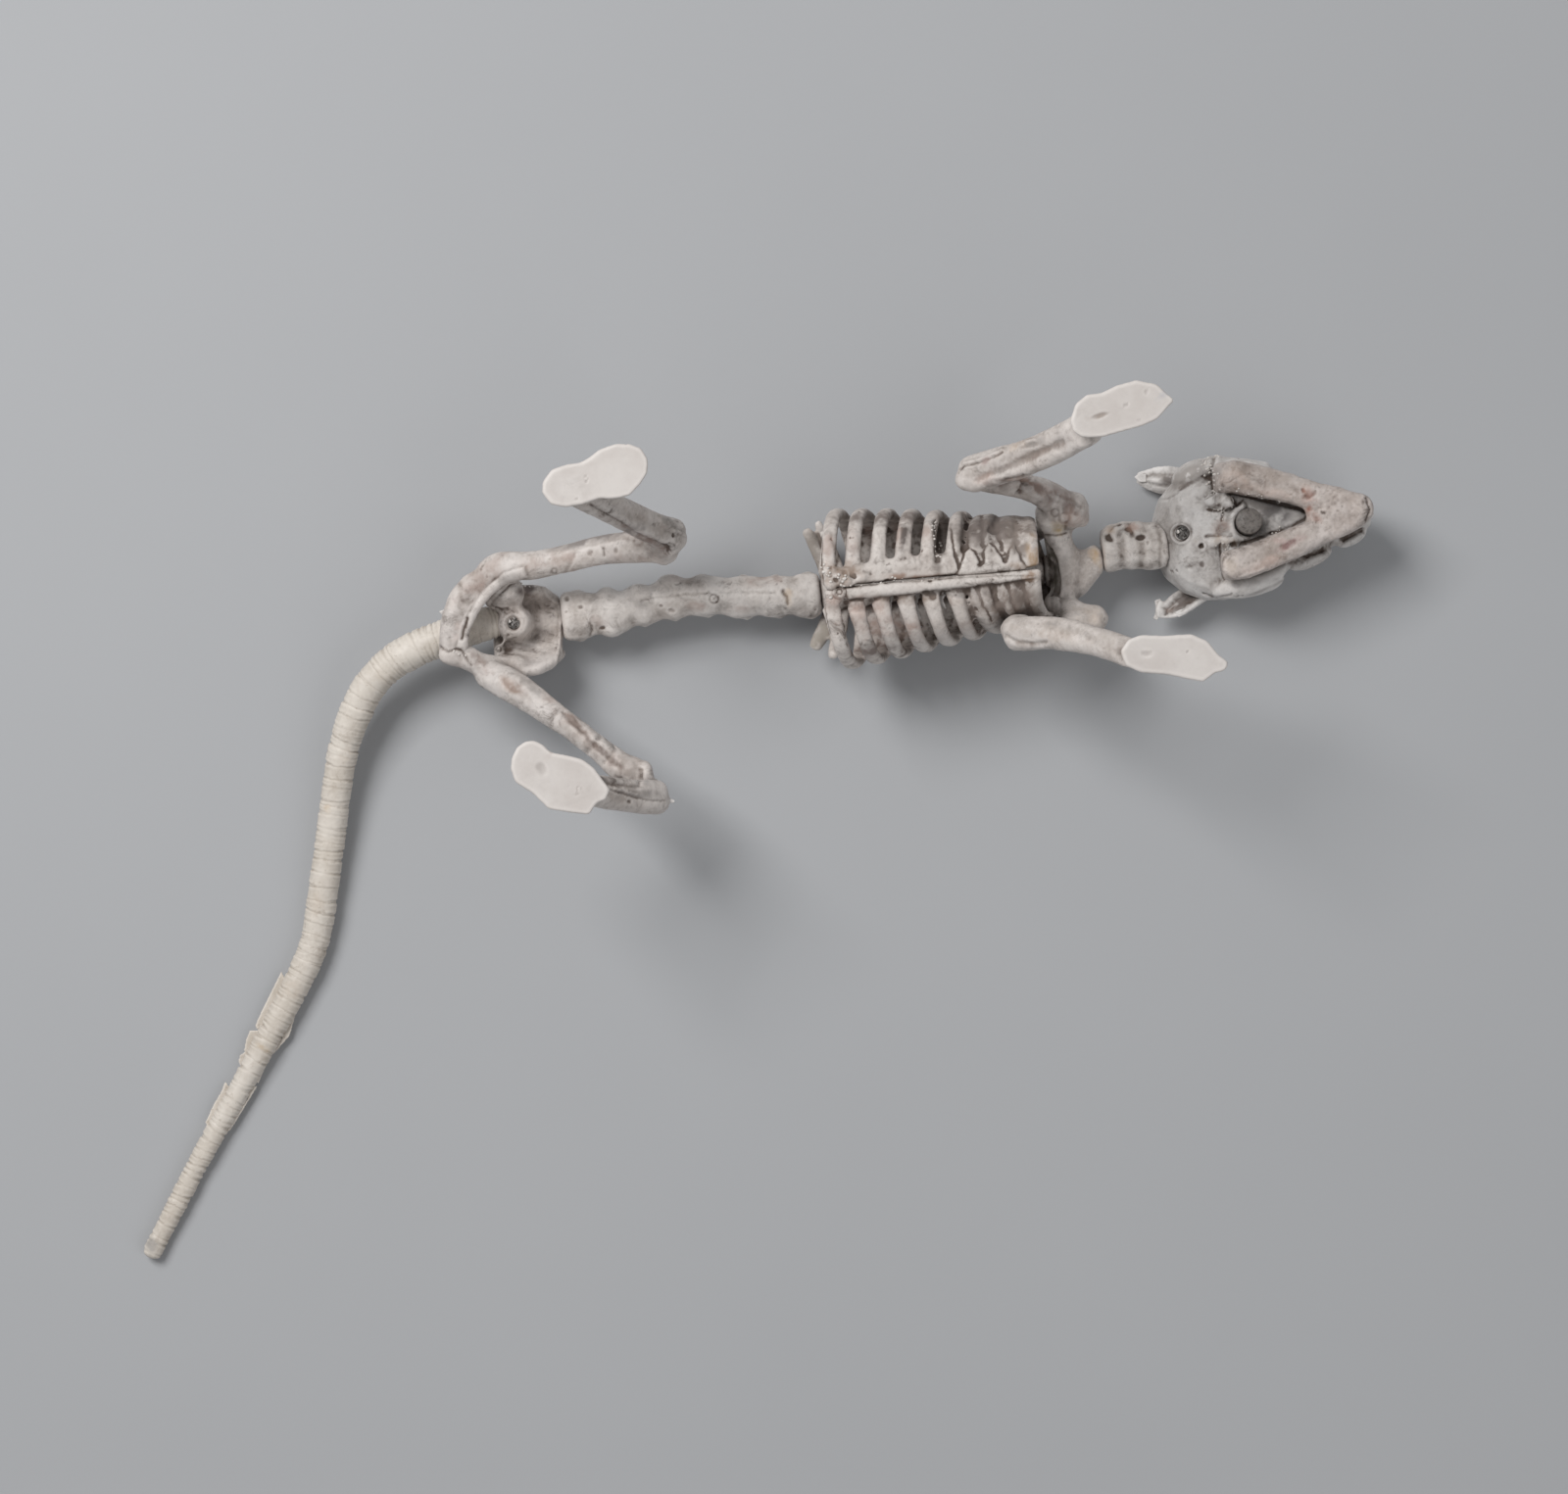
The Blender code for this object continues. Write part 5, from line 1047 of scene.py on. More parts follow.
MARKS["rib_cage_left_skin"] = dict(
    areas=(
        # The raised bar
        (((864, 601), (884, 599), (908, 596.5), (924, 595), (948, 594), (977, 591), (1000, 590),
         (1022, 589), (1056, 589), (1024, 594.5), (997, 597), (959, 601), (932, 604.5), (896, 609),
         (866, 611)), 1.2, 0.45, 0.3),
    ),
    lines=(
        (((839, 606), (841, 622), (846, 645)), 1.5, -0.25, 0.5),
        (((1012, 598), (1018, 618), (1028, 632)), 3.0, -0.45, 0.35),
        (((1028, 597), (1033, 615), (1040, 630)), 3.0, -0.45, 0.35),
        (((1043, 596), (1047, 612), (1052, 628)), 2.8, -0.35, 0.3),
        (((997, 600), (1003, 618), (1012, 634)), 2.8, -0.4, 0.45),
        (((862, 613), (880, 612), (897, 611)), 1.5, -0.3, 0.6),
    ),
    rings=((856.4, 604.3, 5.0, 1.4, 0.3, 0.7),),
    spots=(
        (899, 596.5, 3, 2, 0, 0.25, 0.0), (949, 593, 2.5, 2.0, 0, -0.3, 0.4),
        (952, 609, 4, 4, 0, -0.5, 0.9), (945, 606, 4, 3, 0, -0.5, 0.8),
    ),
    stains=(
        # The stain in the shade colour is painted shade
        (1026, 612, 40, 16, 0, (0.23, 0.185, 0.16), 1.3), (1053, 588, 8, 5, 0, (0.3, 0.18, 0.11), 0.9),
        (985, 606, 30, 6, 3, PAINTED_SHADE, 0.7), (930, 612, 44, 5, 3, (0.27, 0.21, 0.175), 1.1),
        (880, 618, 26, 8, 5, PINK, 0.7), (850, 616, 10, 12, 0, PINK, 0.6),
        (896, 664, 34, 6, -4, (0.22, 0.17, 0.15), 1.2), (905, 640, 40, 12, 10, PINK, 0.8),
        (1000, 640, 40, 6, 0, PINK, 0.4),
    ),
)
MARKS["chest_spine_skin"] = dict(
    stains=(
        # Painted shade on the free ribs, which lie in the cage's shadow
        (832, 565, 28, 10, 67, (0.34, 0.3, 0.265), 1.6), (837, 648, 24, 9, -60, (0.36, 0.32, 0.275), 1.6),
        (829, 540, 5, 4, 0, (0.3, 0.25, 0.22), 0.8),
    ),
)
MARKS["lumbar_skin"] = dict(
    lines=(
        (((655, 612), (700, 607), (745, 605), (790, 605)), 2.0, -0.1, 0.04),
        (((799, 603), (803, 610), (804, 616)), 2.0, -0.5, 0.5),
        (((601, 655), (604, 645), (602, 636)), 2.0, -0.2, 0.2),
    ),
    rings=((728.5, 611.4, 4.4, 1.3, -0.2, 0.35),),
    spots=(
        (728.5, 611.4, 1.5, 1.5, 0, -0.2, 0.5), (578, 611, 2.5, 2.5, 0, -0.3, 0.6),
        (615, 641, 3, 2, 0, -0.25, 0.5), (674, 618, 2, 1.5, 0, -0.25, 0.6),
        (685, 623, 3, 2, 0, -0.25, 0.45), (592, 619, 3, 2, 0, -0.2, 0.4),
    ),
    stains=(
        # The first stain is a painted shadow cast by the right leg
        (637, 611, 30, 6, 20, PAINTED_SHADE, 0.55), (711.5, 618.5, 10, 4, -8, PINK, 0.7),
        (781, 592, 20, 6, -12, PINK, 0.6), (804, 611, 4, 8, 0, OCHRE, 0.4),
        (755, 622, 14, 4, 0, PINK, 0.4), (694, 590, 14, 5, 0, PINK, 0.3),
        (612, 635, 10, 6, 0, PINK, 0.35),
    ),
)
MARKS["hindquarters_skin"] = dict(
    areas=(
        # The bar along the inside of the ring, the flat left end of the thigh and the sheared knee plate
        (((535, 579), (514, 585), (499, 598), (486, 614), (476, 632), (466, 661), (474, 664), (482, 652),
         (490, 634), (503, 612), (520, 596), (538, 589)), 1.3, 0.35, 0.45),
        (((590, 562), (609, 557), (634, 551.5), (662, 556), (684, 566), (700, 566), (690, 600),
         (560, 620)), 1.8, 0.2, 0.2),
    ),
    lines=(
        (((471.5, 652), (474, 641), (477, 631)), 1.9, -0.8, 1.4),
        (((448.6, 660.5), (459, 665), (465.8, 662.4), (471.6, 664.3), (481, 679.6)), 1.4, -0.45, 0.8),
        (((468.7, 596.4), (472.5, 613.6)), 3.4, -0.25, 0.12),
        (((554.8, 600), (558.7, 608.8), (570, 617.4), (573, 629), (571, 656), (567, 680)),
         1.4, 0.3, -0.3),
        (((506, 621), (512, 622.5), (518, 622)), 1.6, -0.4, 0.5),
        # Right thigh and shin
        (((604.5, 516), (626.7, 529.7), (637.4, 536.6), (648, 545), (659, 549.6), (682, 560.3)),
         3.0, -0.6, 0.4),
        (((616.2, 560.5), (617, 566.5)), 1.3, -0.25, 0.35),
        (((688.7, 541.2), (700, 545.8)), 1.3, 0.3, -0.3),
        # Left thigh and shin
        (((594, 745), (604, 757.4), (613, 766.5), (621.6, 775), (632, 783.3)), 4.0, -0.6, 0.25),
        (((575, 728), (584, 736), (592, 744)), 3.0, -0.4, 0.2),
        (((613, 752), (606, 762), (598, 768)), 3.0, -0.4, 0.15),
        (((628, 762), (622, 772), (616, 778)), 3.0, -0.4, 0.15),
        (((654, 786), (653.5, 801.6)), 2.4, -0.5, 0.2),
        (((613, 800), (630, 801), (650, 803)), 3.0, -0.4, 0.5),
        (((623.7, 806.5), (635.6, 810), (648, 813.5), (660, 816.3), (677.7, 817.7)), 1.1, -0.2, 0.3),
        (((628, 804.8), (640, 808.4), (650, 811.3)), 1.4, 0.3, -0.3),
    ),
    spots=(
        (602, 564, 3, 2.5, 0, -0.2, 0.2), (628, 562, 1.8, 3, 0, -0.2, 0.2),
        (642.3, 818.4, 2.2, 2.2, 0, -0.25, 0.5), (686.8, 546.6, 1.3, 2.2, 0, -0.4, 0.8),
        (518, 649, 2.0, 2.0, 0, -0.3, 0.4), (535, 661, 14, 3.5, 12, -0.4, 0.08),
    ),
    rings=(
        (523.2, 636.5, 9.4, 1.4, 0.25, 0.2), (651.2, 552.7, 4.0, 2.0, -0.15, 0.2),
        (684.9, 558.8, 4.0, 1.6, -0.2, 0.3), (508.9, 662.4, 3.2, 1.1, -0.3, 0.4),
        (565.5, 583, 2.6, 1.2, -0.1, 0.15),
    ),
    stains=(
        # Stains in the shade colour are painted shade; (626, 795) is a painted shadow, and (612, 549) makes
        # the right thigh's upper facet darker as painted shade
        (540, 600, 16, 5, -25, (0.14, 0.11, 0.1), 1.3), (450, 640, 12, 30, 5, PAINTED_SHADE, 0.35),
        (492, 588, 34, 12, -45, PINK, 0.5), (650, 554, 12, 9, 0, (0.25, 0.205, 0.18), 1.0),
        (650, 575, 30, 10, 10, PINK, 0.4), (672, 566, 12, 8, 0, (0.3, 0.24, 0.21), 0.6),
        (585, 735, 40, 9, 43, PAINTED_SHADE, 0.55), (638, 783, 24, 12, 25, (0.32, 0.27, 0.24), 0.8),
        (530, 661, 16, 5, 0, PAINTED_SHADE, 0.3), (558, 612, 12, 5, -35, PAINTED_SHADE, 0.4),
        (466, 645, 4, 9, 10, PINK, 0.45), (488, 676, 14, 6, 50, (0.3, 0.22, 0.19), 0.9),
        (517, 697, 9, 5, 60, (0.3, 0.22, 0.18), 0.9), (525, 702, 16, 6, 30, (0.3, 0.22, 0.18), 1.0),
        (648, 545, 40, 4, 27, (0.25, 0.18, 0.155), 0.9), (684, 534, 10, 4, 38, (0.2, 0.18, 0.16), 0.9),
        (612, 549, 48, 5, -14, (0.25, 0.22, 0.205), 1.2), (560, 572, 36, 6, -10, PINK, 0.5),
        (596, 580, 12, 3, -12, PINK, 0.7), (586, 738, 26, 5, 44, (0.24, 0.185, 0.16), 1.2),
        (600, 762, 30, 5, 42, (0.33, 0.28, 0.25), 0.8), (616, 768, 26, 5, 40, (0.2, 0.155, 0.135), 1.3),
        (565, 720, 16, 6, 44, PINK, 0.8), (632, 765, 24, 5, 32, PAINTED_SHADE, 0.6),
        (656, 792, 12, 10, 0, PAINTED_SHADE, 0.6), (626, 795, 16, 6, 5, (0.1, 0.08, 0.07), 1.5),
        (655, 811, 30, 5, 8, PAINTED_SHADE, 0.6), (545, 703, 26, 6, 40, PAINTED_SHADE, 0.6),
        (644, 803, 14, 2.5, 4, PAINTED_SHADE, 0.6),
    ),
)
MARKS["tail_skin"] = dict(
    stains=(
        (334, 825, 4, 4, 0, OCHRE, 0.45), (267.5, 1069.5, 7, 3, 28, (0.48, 0.33, 0.17), 0.9),
        (300, 1010, 10, 8, 0, TAN, 0.3), (352, 770, 8, 10, 0, TAN, 0.3), (320, 920, 8, 14, 0, TAN, 0.25),
        (396, 690, 14, 8, 0, TAN, 0.25), (155, 1270, 7, 7, 0, (0.3, 0.28, 0.265), 0.7),
    ),
)
MARKS["forefoot_right_skin"] = dict(
    spots=((1123, 424, 8, 2, -16, -0.25, 0.2),),
    stains=(
        (1121, 424.5, 10, 2.5, -16, (0.33, 0.27, 0.23), 0.9),
        (1190, 400, 8, 4, -40, (0.35, 0.37, 0.42), 0.35),
    ),
)
MARKS["forefoot_left_skin"] = dict(
    spots=((1170, 667, 5, 3, 0, -0.25, 0.1), (1212, 665, 1.2, 1.2, 0, -0.2, 0.5)),
    stains=((1143, 664, 5, 7, 0, TAN, 0.5),),
)
MARKS["hindfoot_left_skin"] = dict(
    spots=((563, 777, 8, 3, 60, 0.3, 0.0), (552, 785, 7, 5, 60, -0.25, 0.1)),
    stains=((552, 786, 10, 6, 60, (0.52, 0.47, 0.44), 0.4), (563, 767, 8, 2.5, -50, PINK, 0.3)),
)


def dressed(made, nodes, material):
    """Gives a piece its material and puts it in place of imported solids, if it stands for any."""
    made.data.materials.clear()
    made.data.materials.append(material)
    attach(made, "root")
    if nodes:
        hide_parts(*nodes)


def piece(name, nodes, material, fillet=0.7, passes=30, lumps=0.14, grain=0.05, grow=0.05,
          voxel=VOXEL, solids=True):
    """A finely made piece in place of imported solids."""
    sources = [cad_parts[node].data for node in nodes] if solids else []
    shell = remeshed(name, [*sources, *EXTRAS.get(name, ())], voxel, fillet)
    seed = sum(ord(letter) for letter in name) % 97
    finish_surface(shell, lumps, grain, MARKS.get(name, {}), passes, grow, seed)
    dressed(shell, nodes, material)
    return shell


# Tail: x, y, z and radius along its middle
TAIL_LINE = (
    (-99.4, 2.1, 12.8, 3.6), (-101.2, 1.9, 13.0, 3.8), (-107.5, 0.9, 13.4, 4.1), (-113.8, -0.8, 13.3, 4.15),
    (-120.0, -2.6, 12.8, 4.1), (-126.0, -5.4, 12.0, 4.0), (-131.4, -9.9, 10.9, 3.9),
    (-135.6, -16.0, 9.6, 3.75), (-139.2, -23.6, 8.2, 3.55), (-141.9, -32.8, 6.6, 3.4),
    (-144.3, -42.4, 5.2, 3.4), (-147.2, -54.0, 4.1, 3.45),
    (-149.4, -62.6, 3.45, 3.5), (-152.0, -70.2, 3.1, 3.35), (-157.6, -79.6, 2.82, 3.15),
    (-164.6, -89.8, 2.6, 2.9), (-172.0, -100.6, 2.33, 2.6), (-181.8, -114.4, 2.15, 2.4),
    (-190.0, -126.8, 2.06, 2.3), (-196.6, -137.0, 1.97, 2.1), (-197.4, -138.3, 1.95, 2.0),
)
TAIL_STEP = 0.2
TAIL_SIDES = 88
TAIL_CAP = 1.6
RING_LENGTHS = (1.3, 1.8, 2.4, 3.1)
RING_COUNT = 130
GROOVE_WIDTH = 0.3
LIP_HEIGHT = 0.07


def tail_path():
    """Evenly spaced rows of x, y, z, radius along the tail, and how far along each is."""
    dense = spline(TAIL_LINE, 40)
    along = np.concatenate(((0,), np.cumsum(np.linalg.norm(np.diff(dense[:, :3], axis=0), axis=1))))
    spaced = np.arange(0, along[-1], TAIL_STEP)
    return np.column_stack([np.interp(spaced, along, dense[:, k]) for k in range(4)]), spaced


def ring_relief(surface, place, across):
    """Relief and grime of uneven rings; across is 1 and -1 at the tail's two sides."""
    dice = np.random.default_rng(11)
    lengths = dice.choice(RING_LENGTHS, RING_COUNT) * dice.uniform(0.85, 1.15, RING_COUNT)
    joints = np.cumsum(lengths)
    depths = dice.uniform(0.03, 0.2, len(joints))
    leans = dice.uniform(-0.45, 0.45, len(joints))
    swells = dice.normal(0, 0.05, len(joints) + 1)
    place = place + 0.25 * layered_noise(surface, 2.5, 41)
    guess = np.clip(np.searchsorted(joints, place), 0, len(joints) - 1)
    place = place + leans[guess] * across
    ring = np.clip(np.searchsorted(joints, place), 0, len(joints) - 1)
    ahead = joints[ring] - place
    behind = np.where(ring > 0, place - joints[np.maximum(ring - 1, 0)], 9.0)
    gap = np.minimum(ahead, behind)
    depth = np.where(ahead < behind, depths[ring], depths[np.maximum(ring - 1, 0)])
    stronger = 0.2 + 1.7 * np.abs(across) ** 3 + 0.35 * layered_noise(surface, 3.0, 43)
    in_groove = np.exp(-(gap / GROOVE_WIDTH) ** 2)
    groove = in_groove * depth * np.clip(stronger, 0.05, 1.8)
    lip = LIP_HEIGHT * np.exp(-((gap - 0.55) / GROOVE_WIDTH) ** 2) * np.abs(across)
    relief = swells[ring] - groove + lip
    relief += 0.1 * layered_noise(surface, 4.0, 45) + 0.03 * layered_noise(surface, 1.2, 47)
    grime = 0.3 * in_groove * np.clip(layered_noise(surface, 3.5, 49) + 0.1, 0, 1)
    grime += 1.5 * np.clip(layered_noise(surface, 1.7, 51) - PIT_START, 0, PIT_MOST)
    return relief, grime


def tail_skin():
    """The tail, with uneven rings whose edges stand proud at the sides."""
    rows, spaced = tail_path()
    turns = np.arange(TAIL_SIDES) * 2 * math.pi / TAIL_SIDES
    forward = np.gradient(rows[:, :3], axis=0)
    forward /= np.linalg.norm(forward, axis=1)[:, None]
    side = np.cross((0, 0, 1), forward)
    side /= np.linalg.norm(side, axis=1)[:, None]
    rise = np.cross(forward, side)
    cos, sin = np.cos(turns), np.sin(turns)
    spoke = side[:, None] * cos[None, :, None] + rise[:, None] * sin[None, :, None]
    surface = (rows[:, None, :3] + spoke * rows[:, 3][:, None, None]).reshape(-1, 3)
    place = np.repeat(spaced, TAIL_SIDES)
    relief, grime = ring_relief(surface, place, np.tile(cos, len(spaced)))
    left = spaced[-1] - place
    cap = np.sqrt(np.clip(1 - (1 - np.minimum(left / TAIL_CAP, 1)) ** 2, 0, 1))
    radius = (np.repeat(rows[:, 3], TAIL_SIDES) + relief + 0.04) * cap
    points = np.repeat(rows[:, :3], TAIL_SIDES, axis=0) + spoke.reshape(-1, 3) * radius[:, None]
    points = np.clip(points, BOX_LOW, BOX_HIGH)
    count = len(spaced)
    number_of = np.arange(count * TAIL_SIDES).reshape(count, TAIL_SIDES)
    after = np.roll(number_of, -1, axis=1)
    quads = np.stack((number_of[:-1], after[:-1], after[1:], number_of[1:]), axis=-1).reshape(-1, 4)
    faces = [*quads.tolist(), number_of[0][::-1].tolist(), number_of[-1].tolist()]
    mesh = bpy.data.meshes.new("tail_skin")
    mesh.from_pydata((points * MM).tolist(), [], faces)
    mesh.update()
    record_surface(mesh, grime, MARKS["tail_skin"]["stains"])
    return keep("tail_skin", mesh)


# Flash: plates of (outline, height, thickness, holes), by the photograph's pixels
TAIL_FLASH = (
    (((287, 992), (277, 1012), (268, 1030), (260.5, 1047), (262, 1051), (272, 1045), (280, 1030),
      (292, 1002)), 2.5, 0.4),
    (((255, 1052), (258, 1052), (266, 1052), (258, 1076), (249, 1073), (251, 1062)), 2.5, 0.45),
    (((250, 1074), (245, 1077), (243.5, 1083), (245, 1088), (252, 1086), (259, 1076)), 2.4, 0.7),
    (((229.5, 1104.5), (227, 1112), (218, 1128), (209.5, 1146), (213, 1150), (225, 1138), (237, 1116),
      (232, 1107)), 2.3, 0.4),
    (((307, 1022), (302, 1032), (297, 1051), (295, 1057.5), (285, 1069), (275, 1080), (268, 1095),
      (261, 1111), (250, 1129), (237, 1150), (233, 1155), (226, 1150), (238, 1126), (252, 1103),
      (268, 1075), (280, 1056), (290, 1038), (300, 1020)), 2.5, 0.4,
     (((288, 1053), (291.5, 1046), (293, 1049), (290, 1055)),
      ((283, 1062), (287, 1056), (288, 1060), (284.5, 1065)),
      ((258, 1111), (262, 1103), (263, 1107)), ((247, 1127), (252, 1118), (253, 1122)))),
)
BONE_FLASH = (
    (((446.5, 668.5), (454, 664), (458, 668), (452, 673)), 23.0, 0.5),
    (((448, 624), (454, 622), (456, 629), (452, 628)), 22.0, 0.5),
    (((1178, 613), (1184, 611), (1186, 617), (1184, 626), (1181, 633), (1177.5, 631), (1180, 622)),
     7.6, 0.6),
    (((1199, 625), (1210, 620), (1222, 612), (1236, 603), (1240, 606), (1228, 615), (1214, 624),
      (1203, 630)), 8.6, 0.7),
    (((1158, 487), (1163, 483), (1170, 484), (1170, 492), (1163, 492)), 4.9, 0.6),
    (((897, 609), (912, 606), (909, 618), (912, 636), (908, 628), (903, 612)), 36.2, 0.5),
    (((925, 607), (939, 604), (936, 616), (940, 634), (935, 628), (931, 612)), 36.0, 0.5),
    (((953, 604), (968, 601), (962, 612), (966, 622), (960, 618)), 36.0, 0.5),
)

KNEE_SPUR = rod(((670, 816, 33.2, 1.0, 1.0), (681, 817.3, 33.5, 0.8, 0.75), (688.5, 818, 33.5, 0.3, 0.3)))


def flash(name, plates, spurs=()):
    """Thin ragged plates and spurs where the halves of the mould met."""
    shell = keep(name, joined(name, [*(plate(*row) for row in plates), *spurs]))
    reskin(shell, FLASH_VOXEL)
    finish_surface(shell, 0.05, 0.04, {}, 3, 0.0, 31)
    return shell


# Crumbs of plastic: line of pixels, count, spread in pixels, size
CRUMBS = (
    (((1229, 470), (1236, 484), (1239, 500)), 34, 3.4, 0.4),
    (((1232, 521), (1246, 524), (1251, 536)), 14, 3.5, 0.32),
    (((1240, 465), (1252, 463), (1263, 467)), 8, 1.2, 0.42),
    (((1255, 503), (1285, 507), (1316, 515)), 14, 2.0, 0.3),
    (((1297, 544), (1309, 541)), 6, 1.2, 0.28),
    (((1244, 552), (1256, 560)), 8, 3.0, 0.3),
    (((843, 582), (860, 590), (856, 600)), 22, 5.0, 0.42),
    (((868, 598), (900, 594), (940, 591), (975, 588)), 26, 1.2, 0.3),
    (((952, 535), (956, 552), (955, 572)), 20, 2.6, 0.36),
    (((529, 598), (541, 596), (552, 603)), 9, 1.5, 0.3),
    (((451, 664), (466, 664), (474, 668)), 7, 2.0, 0.3),
)


def crumbs(shells):
    """Small crumbs of plastic, each lying where the camera's ray meets the skins."""
    trees = [BVHTree.FromObject(shell, bpy.context.evaluated_depsgraph_get()) for shell in shells]
    eye = Vector((CAMERA_X, CAMERA_Y, CAMERA_Z))
    dice = np.random.default_rng(5)
    made = []
    for line, count, spread, radius in CRUMBS:
        line = np.array(line, float)
        knots = np.linspace(0, 1, len(line))
        for share in dice.uniform(0, 1, count):
            u, v = (np.interp(share, knots, line[:, k]) + dice.normal(0, spread) for k in range(2))
            size = radius * dice.uniform(0.5, 1.2)
            turn = dice.uniform(0, 180)
            aim = (seen_at(u, v, 0.0) - eye).normalized()
            hits = [tree.ray_cast(eye * MM, aim) for tree in trees]
            hits = [hit for hit in hits if hit[0] is not None]
            if hits:
                spot = min(hits, key=lambda hit: hit[3])[0] / MM
                made.append(blob(spot, (size, size * 0.75, size * 0.8), (turn, turn, turn), 2))
    shell = keep("crumbs", joined("crumbs", made))
    mesh = shell.data
    points = read_points(mesh)
    write_points(mesh, points + read_normals(mesh) * (0.12 * layered_noise(points, 0.5, 3))[:, None])
    record_surface(mesh, np.zeros(len(points)), ())
    return shell


# Screw heads: how far the rim lies below the top, the cross recess's depth, half width, reach and turn in
# degrees, and how finely the head is divided
RIM_DROP = 0.42
CROSS_DEPTH = 0.6
CROSS_WIDTH = 0.27
CROSS_REACH = 1.05
HEAD_TURN = 28
HEAD_RINGS = 44
HEAD_SEGMENTS = 120


def screw_head(name, centre, radius, depth, frame_matrix):
    """A pan head with a cross recess, its top at the given point of its frame."""
    bm = bmesh.new()
    middle = bm.verts.new((0, 0, -CROSS_DEPTH))
    rows = []
    for ring in range(1, HEAD_RINGS + 1):
        r = radius * ring / HEAD_RINGS
        row = []
        for k in range(HEAD_SEGMENTS):
            turn = 2 * math.pi * k / HEAD_SEGMENTS
            x, y = r * math.cos(turn), r * math.sin(turn)
            upright = max(abs(x) / CROSS_WIDTH, abs(y) / CROSS_REACH)
            level = max(abs(y) / CROSS_WIDTH, abs(x) / CROSS_REACH)
            cross = min(max((1.25 - min(upright, level)) / 0.4, 0.0), 1.0)
            height = -RIM_DROP * (r / radius) ** 3 - CROSS_DEPTH * cross
            row.append(bm.verts.new((x, y, height)))
        rows.append(row)
    rows.append([bm.verts.new((v.co.x, v.co.y, -depth)) for v in rows[-1]])
    for near, far in zip(rows, rows[1:]):
        for k in range(HEAD_SEGMENTS):
            after = (k + 1) % HEAD_SEGMENTS
            bm.faces.new((near[k], far[k], far[after], near[after]))
    for k in range(HEAD_SEGMENTS):
        bm.faces.new((middle, rows[0][k], rows[0][(k + 1) % HEAD_SEGMENTS]))
    bm.faces.new(rows[-1])
    bmesh.ops.recalc_face_normals(bm, faces=bm.faces)
    matrix = Matrix.Diagonal((MM, MM, MM, 1)) @ frame_matrix @ Matrix.Translation(centre)
    matrix = matrix @ Matrix.Rotation(math.radians(HEAD_TURN), 4, "Z")
    bmesh.ops.transform(bm, matrix=matrix, verts=bm.verts)
    mesh = as_mesh(bm, name)
    mesh.shade_smooth()
    return keep(name, mesh)


# Where the skull lies and how it is turned, for its screw
SKULL_FRAME = Matrix.Translation((54.9, 5.3, 12.55)) @ Matrix.Rotation(math.radians(1.3), 4, "Z")
SKULL_FRAME = SKULL_FRAME @ Matrix.Rotation(math.radians(-4), 4, "X")

# Screws: where, the middle of the head's top, its radius and depth, and the frame these are given in
SCREWS = (
    ("skull", (4.6, 0.1, 8.5), 1.55, 0.9, SKULL_FRAME),
    ("pelvis", (-96.2, 1.2, 17.7), 1.7, 1.0, Matrix()),
)

BONE = plastic("bone_plastic", (0.66, 0.615, 0.58), (0.5, 0.445, 0.405), WASH_AND_SHADE, mottle=0.8)
LIMB_BONE = plastic("limb_plastic", (0.65, 0.6, 0.565), (0.46, 0.4, 0.36), WASH_AND_SHADE, 0.75, mottle=0.9)
SKULL_BONE = plastic("skull_plastic", (0.69, 0.66, 0.635), (0.52, 0.48, 0.45), WASH_AND_SHADE, 0.9, mottle=0.65)
JAW_BONE = plastic("jaw_plastic", (0.575, 0.515, 0.48), (0.4, 0.33, 0.29), WASH_AND_SHADE, speckle=0.9, mottle=1.1)
CAGE_BONE = plastic("cage_plastic", (0.66, 0.61, 0.57), (0.5, 0.44, 0.4), WASH_AND_SHADE, 2.6, crevice=13.0,
                    mottle=0.95)
TAIL_BONE = plastic("tail_plastic", (0.67, 0.615, 0.55), (0.56, 0.5, 0.43), (0.25, 0.185, 0.13), 0.45,
                    rough=0.5, speckle=0.9, crevice=2.0, mottle=0.4)
SOLE_BONE = plastic("foot_plastic", (0.66, 0.615, 0.58), (0.59, 0.54, 0.505), WASH_AND_SHADE, 0.3, rough=0.48,
                    speckle=0.1, crevice=2.0, mottle=0.12)
PEG_BONE = plastic("peg_plastic", (0.24, 0.215, 0.197), (0.09, 0.079, 0.071), (0.03, 0.024, 0.02),
                   rough=0.42, speckle=2.4, crevice=1.0, mottle=1.0, scale=4.0)
CRUMB_BONE = plastic("crumb_plastic", (0.68, 0.64, 0.6), (0.5, 0.44, 0.4), WASH_AND_SHADE, 0.6, mottle=0.5, scale=3.0)
STEEL = metal("screw_steel")

# The solids of the fore and hind quarters
FORE = ("shoulder_girdle", "humerus_right", "humerus_left", "forearm_right", "forearm_left")
HIND = ("pelvis", "femur_right", "femur_left", "shin_right", "shin_left")

# The pieces, and the list of those that crumbs lie on
CRUMBLING = [
    piece("skull_skin", ("skull",), SKULL_BONE, 0.4, 16, voxel=FINE_VOXEL),
    piece("jaw_skin", ("lower_jaw",), JAW_BONE, 0.9, lumps=0.28, grain=0.1,
          voxel=FINE_VOXEL),
]
piece("ear_right_skin", ("ear_right",), SKULL_BONE, 0.0, 8, voxel=FINE_VOXEL)
piece("ear_left_skin", ("ear_left",), SKULL_BONE, 0.3, 8, voxel=FINE_VOXEL, solids=False)
piece("neck_skin", ("neck",), BONE, 1.0)
piece("forequarters_skin", FORE, LIMB_BONE, 1.0, 40, lumps=0.2, grain=0.07)
for side in ("right", "left"):
    blade = f"shoulder_blade_{side}"
    piece(blade + "_skin", (blade,), BONE, 0.4, 14)
piece("chest_spine_skin", ("chest_spine",), CAGE_BONE, 0.5, 14)
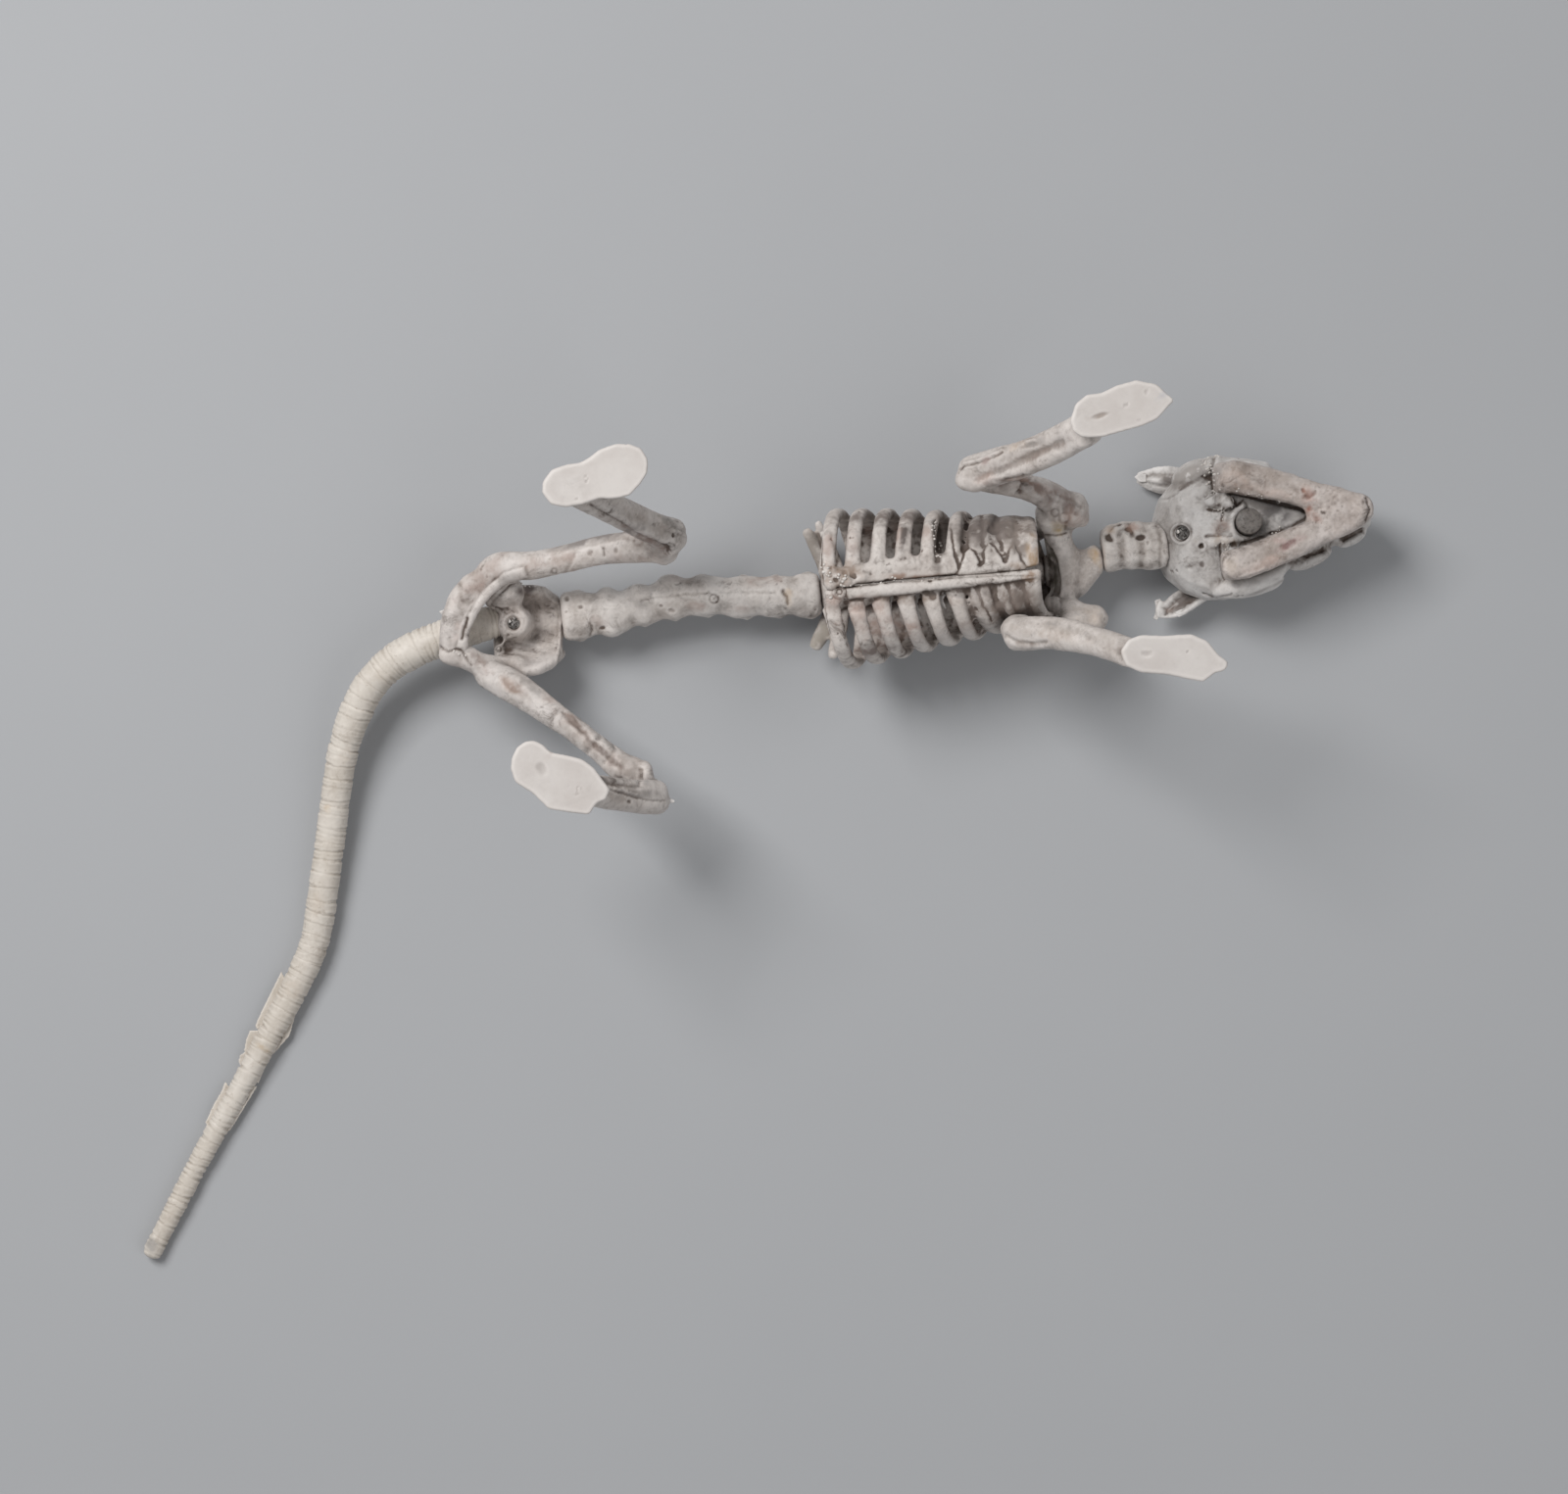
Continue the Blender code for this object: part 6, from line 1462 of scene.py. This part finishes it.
for side in ("right", "left"):
    cage = f"rib_cage_{side}"
    CRUMBLING.append(piece(cage + "_skin", (cage,), CAGE_BONE, 0.4, 20, voxel=FINE_VOXEL))
piece("lumbar_skin", ("lumbar_spine",), BONE, 0.8, 36)
CRUMBLING.append(piece("hindquarters_skin", HIND, LIMB_BONE, 0.9, 34, lumps=0.2, grain=0.06))
for foot in ("forefoot_right", "forefoot_left", "hindfoot_right", "hindfoot_left"):
    piece(foot + "_skin", (foot,), SOLE_BONE, 0.4, 14, lumps=0.05, grain=0.015, grow=0.0)
piece("palate_peg_skin", ("palate_peg",), PEG_BONE, 0.0, 14, 0.02, 0.03, 0.0, PEG_VOXEL)
dressed(tail_skin(), ("tail_base", "tail_middle", "tail_end"), TAIL_BONE)
dressed(flash("tail_flash", TAIL_FLASH), (), TAIL_BONE)
dressed(flash("bone_flash", BONE_FLASH, [KNEE_SPUR]), (), SKULL_BONE)
dressed(crumbs(CRUMBLING), (), CRUMB_BONE)
for where, top, radius, depth, own_frame in SCREWS:
    head = screw_head(f"{where}_screw_head", top, radius, depth, own_frame)
    dressed(head, (f"screw_{where}",), STEEL)


# Floor, lights and camera

# Lights: name, place, side and power
LAMPS = (
    ("key", (-0.5, 0.5, 0.95), 0.5, 10.3),
    ("fill", (0.5, -0.6, 0.9), 0.9, 2.5),
)
LAMP_AIM = (-0.03, -0.02, 0.02)
SKY_STRENGTH = 0.27
FLOOR_REACH = 1.6


def lamp(name, place, size, power):
    """A soft square light aimed at the model."""
    light = bpy.data.lights.new(name, "AREA")
    light.size = size
    light.energy = power
    made = bpy.data.objects.new(name, light)
    bpy.context.scene.collection.objects.link(made)
    made.location = place
    made.rotation_euler = (Vector(LAMP_AIM) - Vector(place)).to_track_quat("-Z", "Y").to_euler()


def build_floor():
    """A plain pale floor."""
    bm = bmesh.new()
    bmesh.ops.create_grid(bm, x_segments=1, y_segments=1, size=FLOOR_REACH)
    floor = keep("floor", as_mesh(bm, "floor"))
    made, tree, shader, place = new_material("floor")
    colour = blend_colour(tree, texture(tree, place, 6.0), (0.41, 0.415, 0.425), (0.44, 0.445, 0.455))
    tree.links.new(colour, shader.inputs["Base Color"])
    shader.inputs["Roughness"].default_value = 0.85
    shader.inputs["Specular IOR Level"].default_value = 0.2
    floor.data.materials.append(made)


def build_world():
    """Even pale light from all round."""
    world = bpy.data.worlds.new("studio")
    world.use_nodes = True
    world.node_tree.nodes["Background"].inputs["Color"].default_value = (0.95, 0.97, 1.0, 1.0)
    world.node_tree.nodes["Background"].inputs["Strength"].default_value = SKY_STRENGTH
    bpy.context.scene.world = world


def build_camera():
    """The photograph's camera."""
    lens = bpy.data.cameras.new("camera")
    lens.sensor_width = SENSOR
    lens.lens = LENS
    lens.clip_start = 0.01
    lens.clip_end = 20.0
    camera = bpy.data.objects.new("camera", lens)
    bpy.context.scene.collection.objects.link(camera)
    camera.location = Vector((CAMERA_X, CAMERA_Y, CAMERA_Z)) * MM
    camera.rotation_euler = (0.0, 0.0, -CAMERA_TURN)
    bpy.context.scene.camera = camera


build_floor()
build_world()
build_camera()
for lamp_row in LAMPS:
    lamp(*lamp_row)
bpy.context.scene.view_settings.view_transform = "Standard"
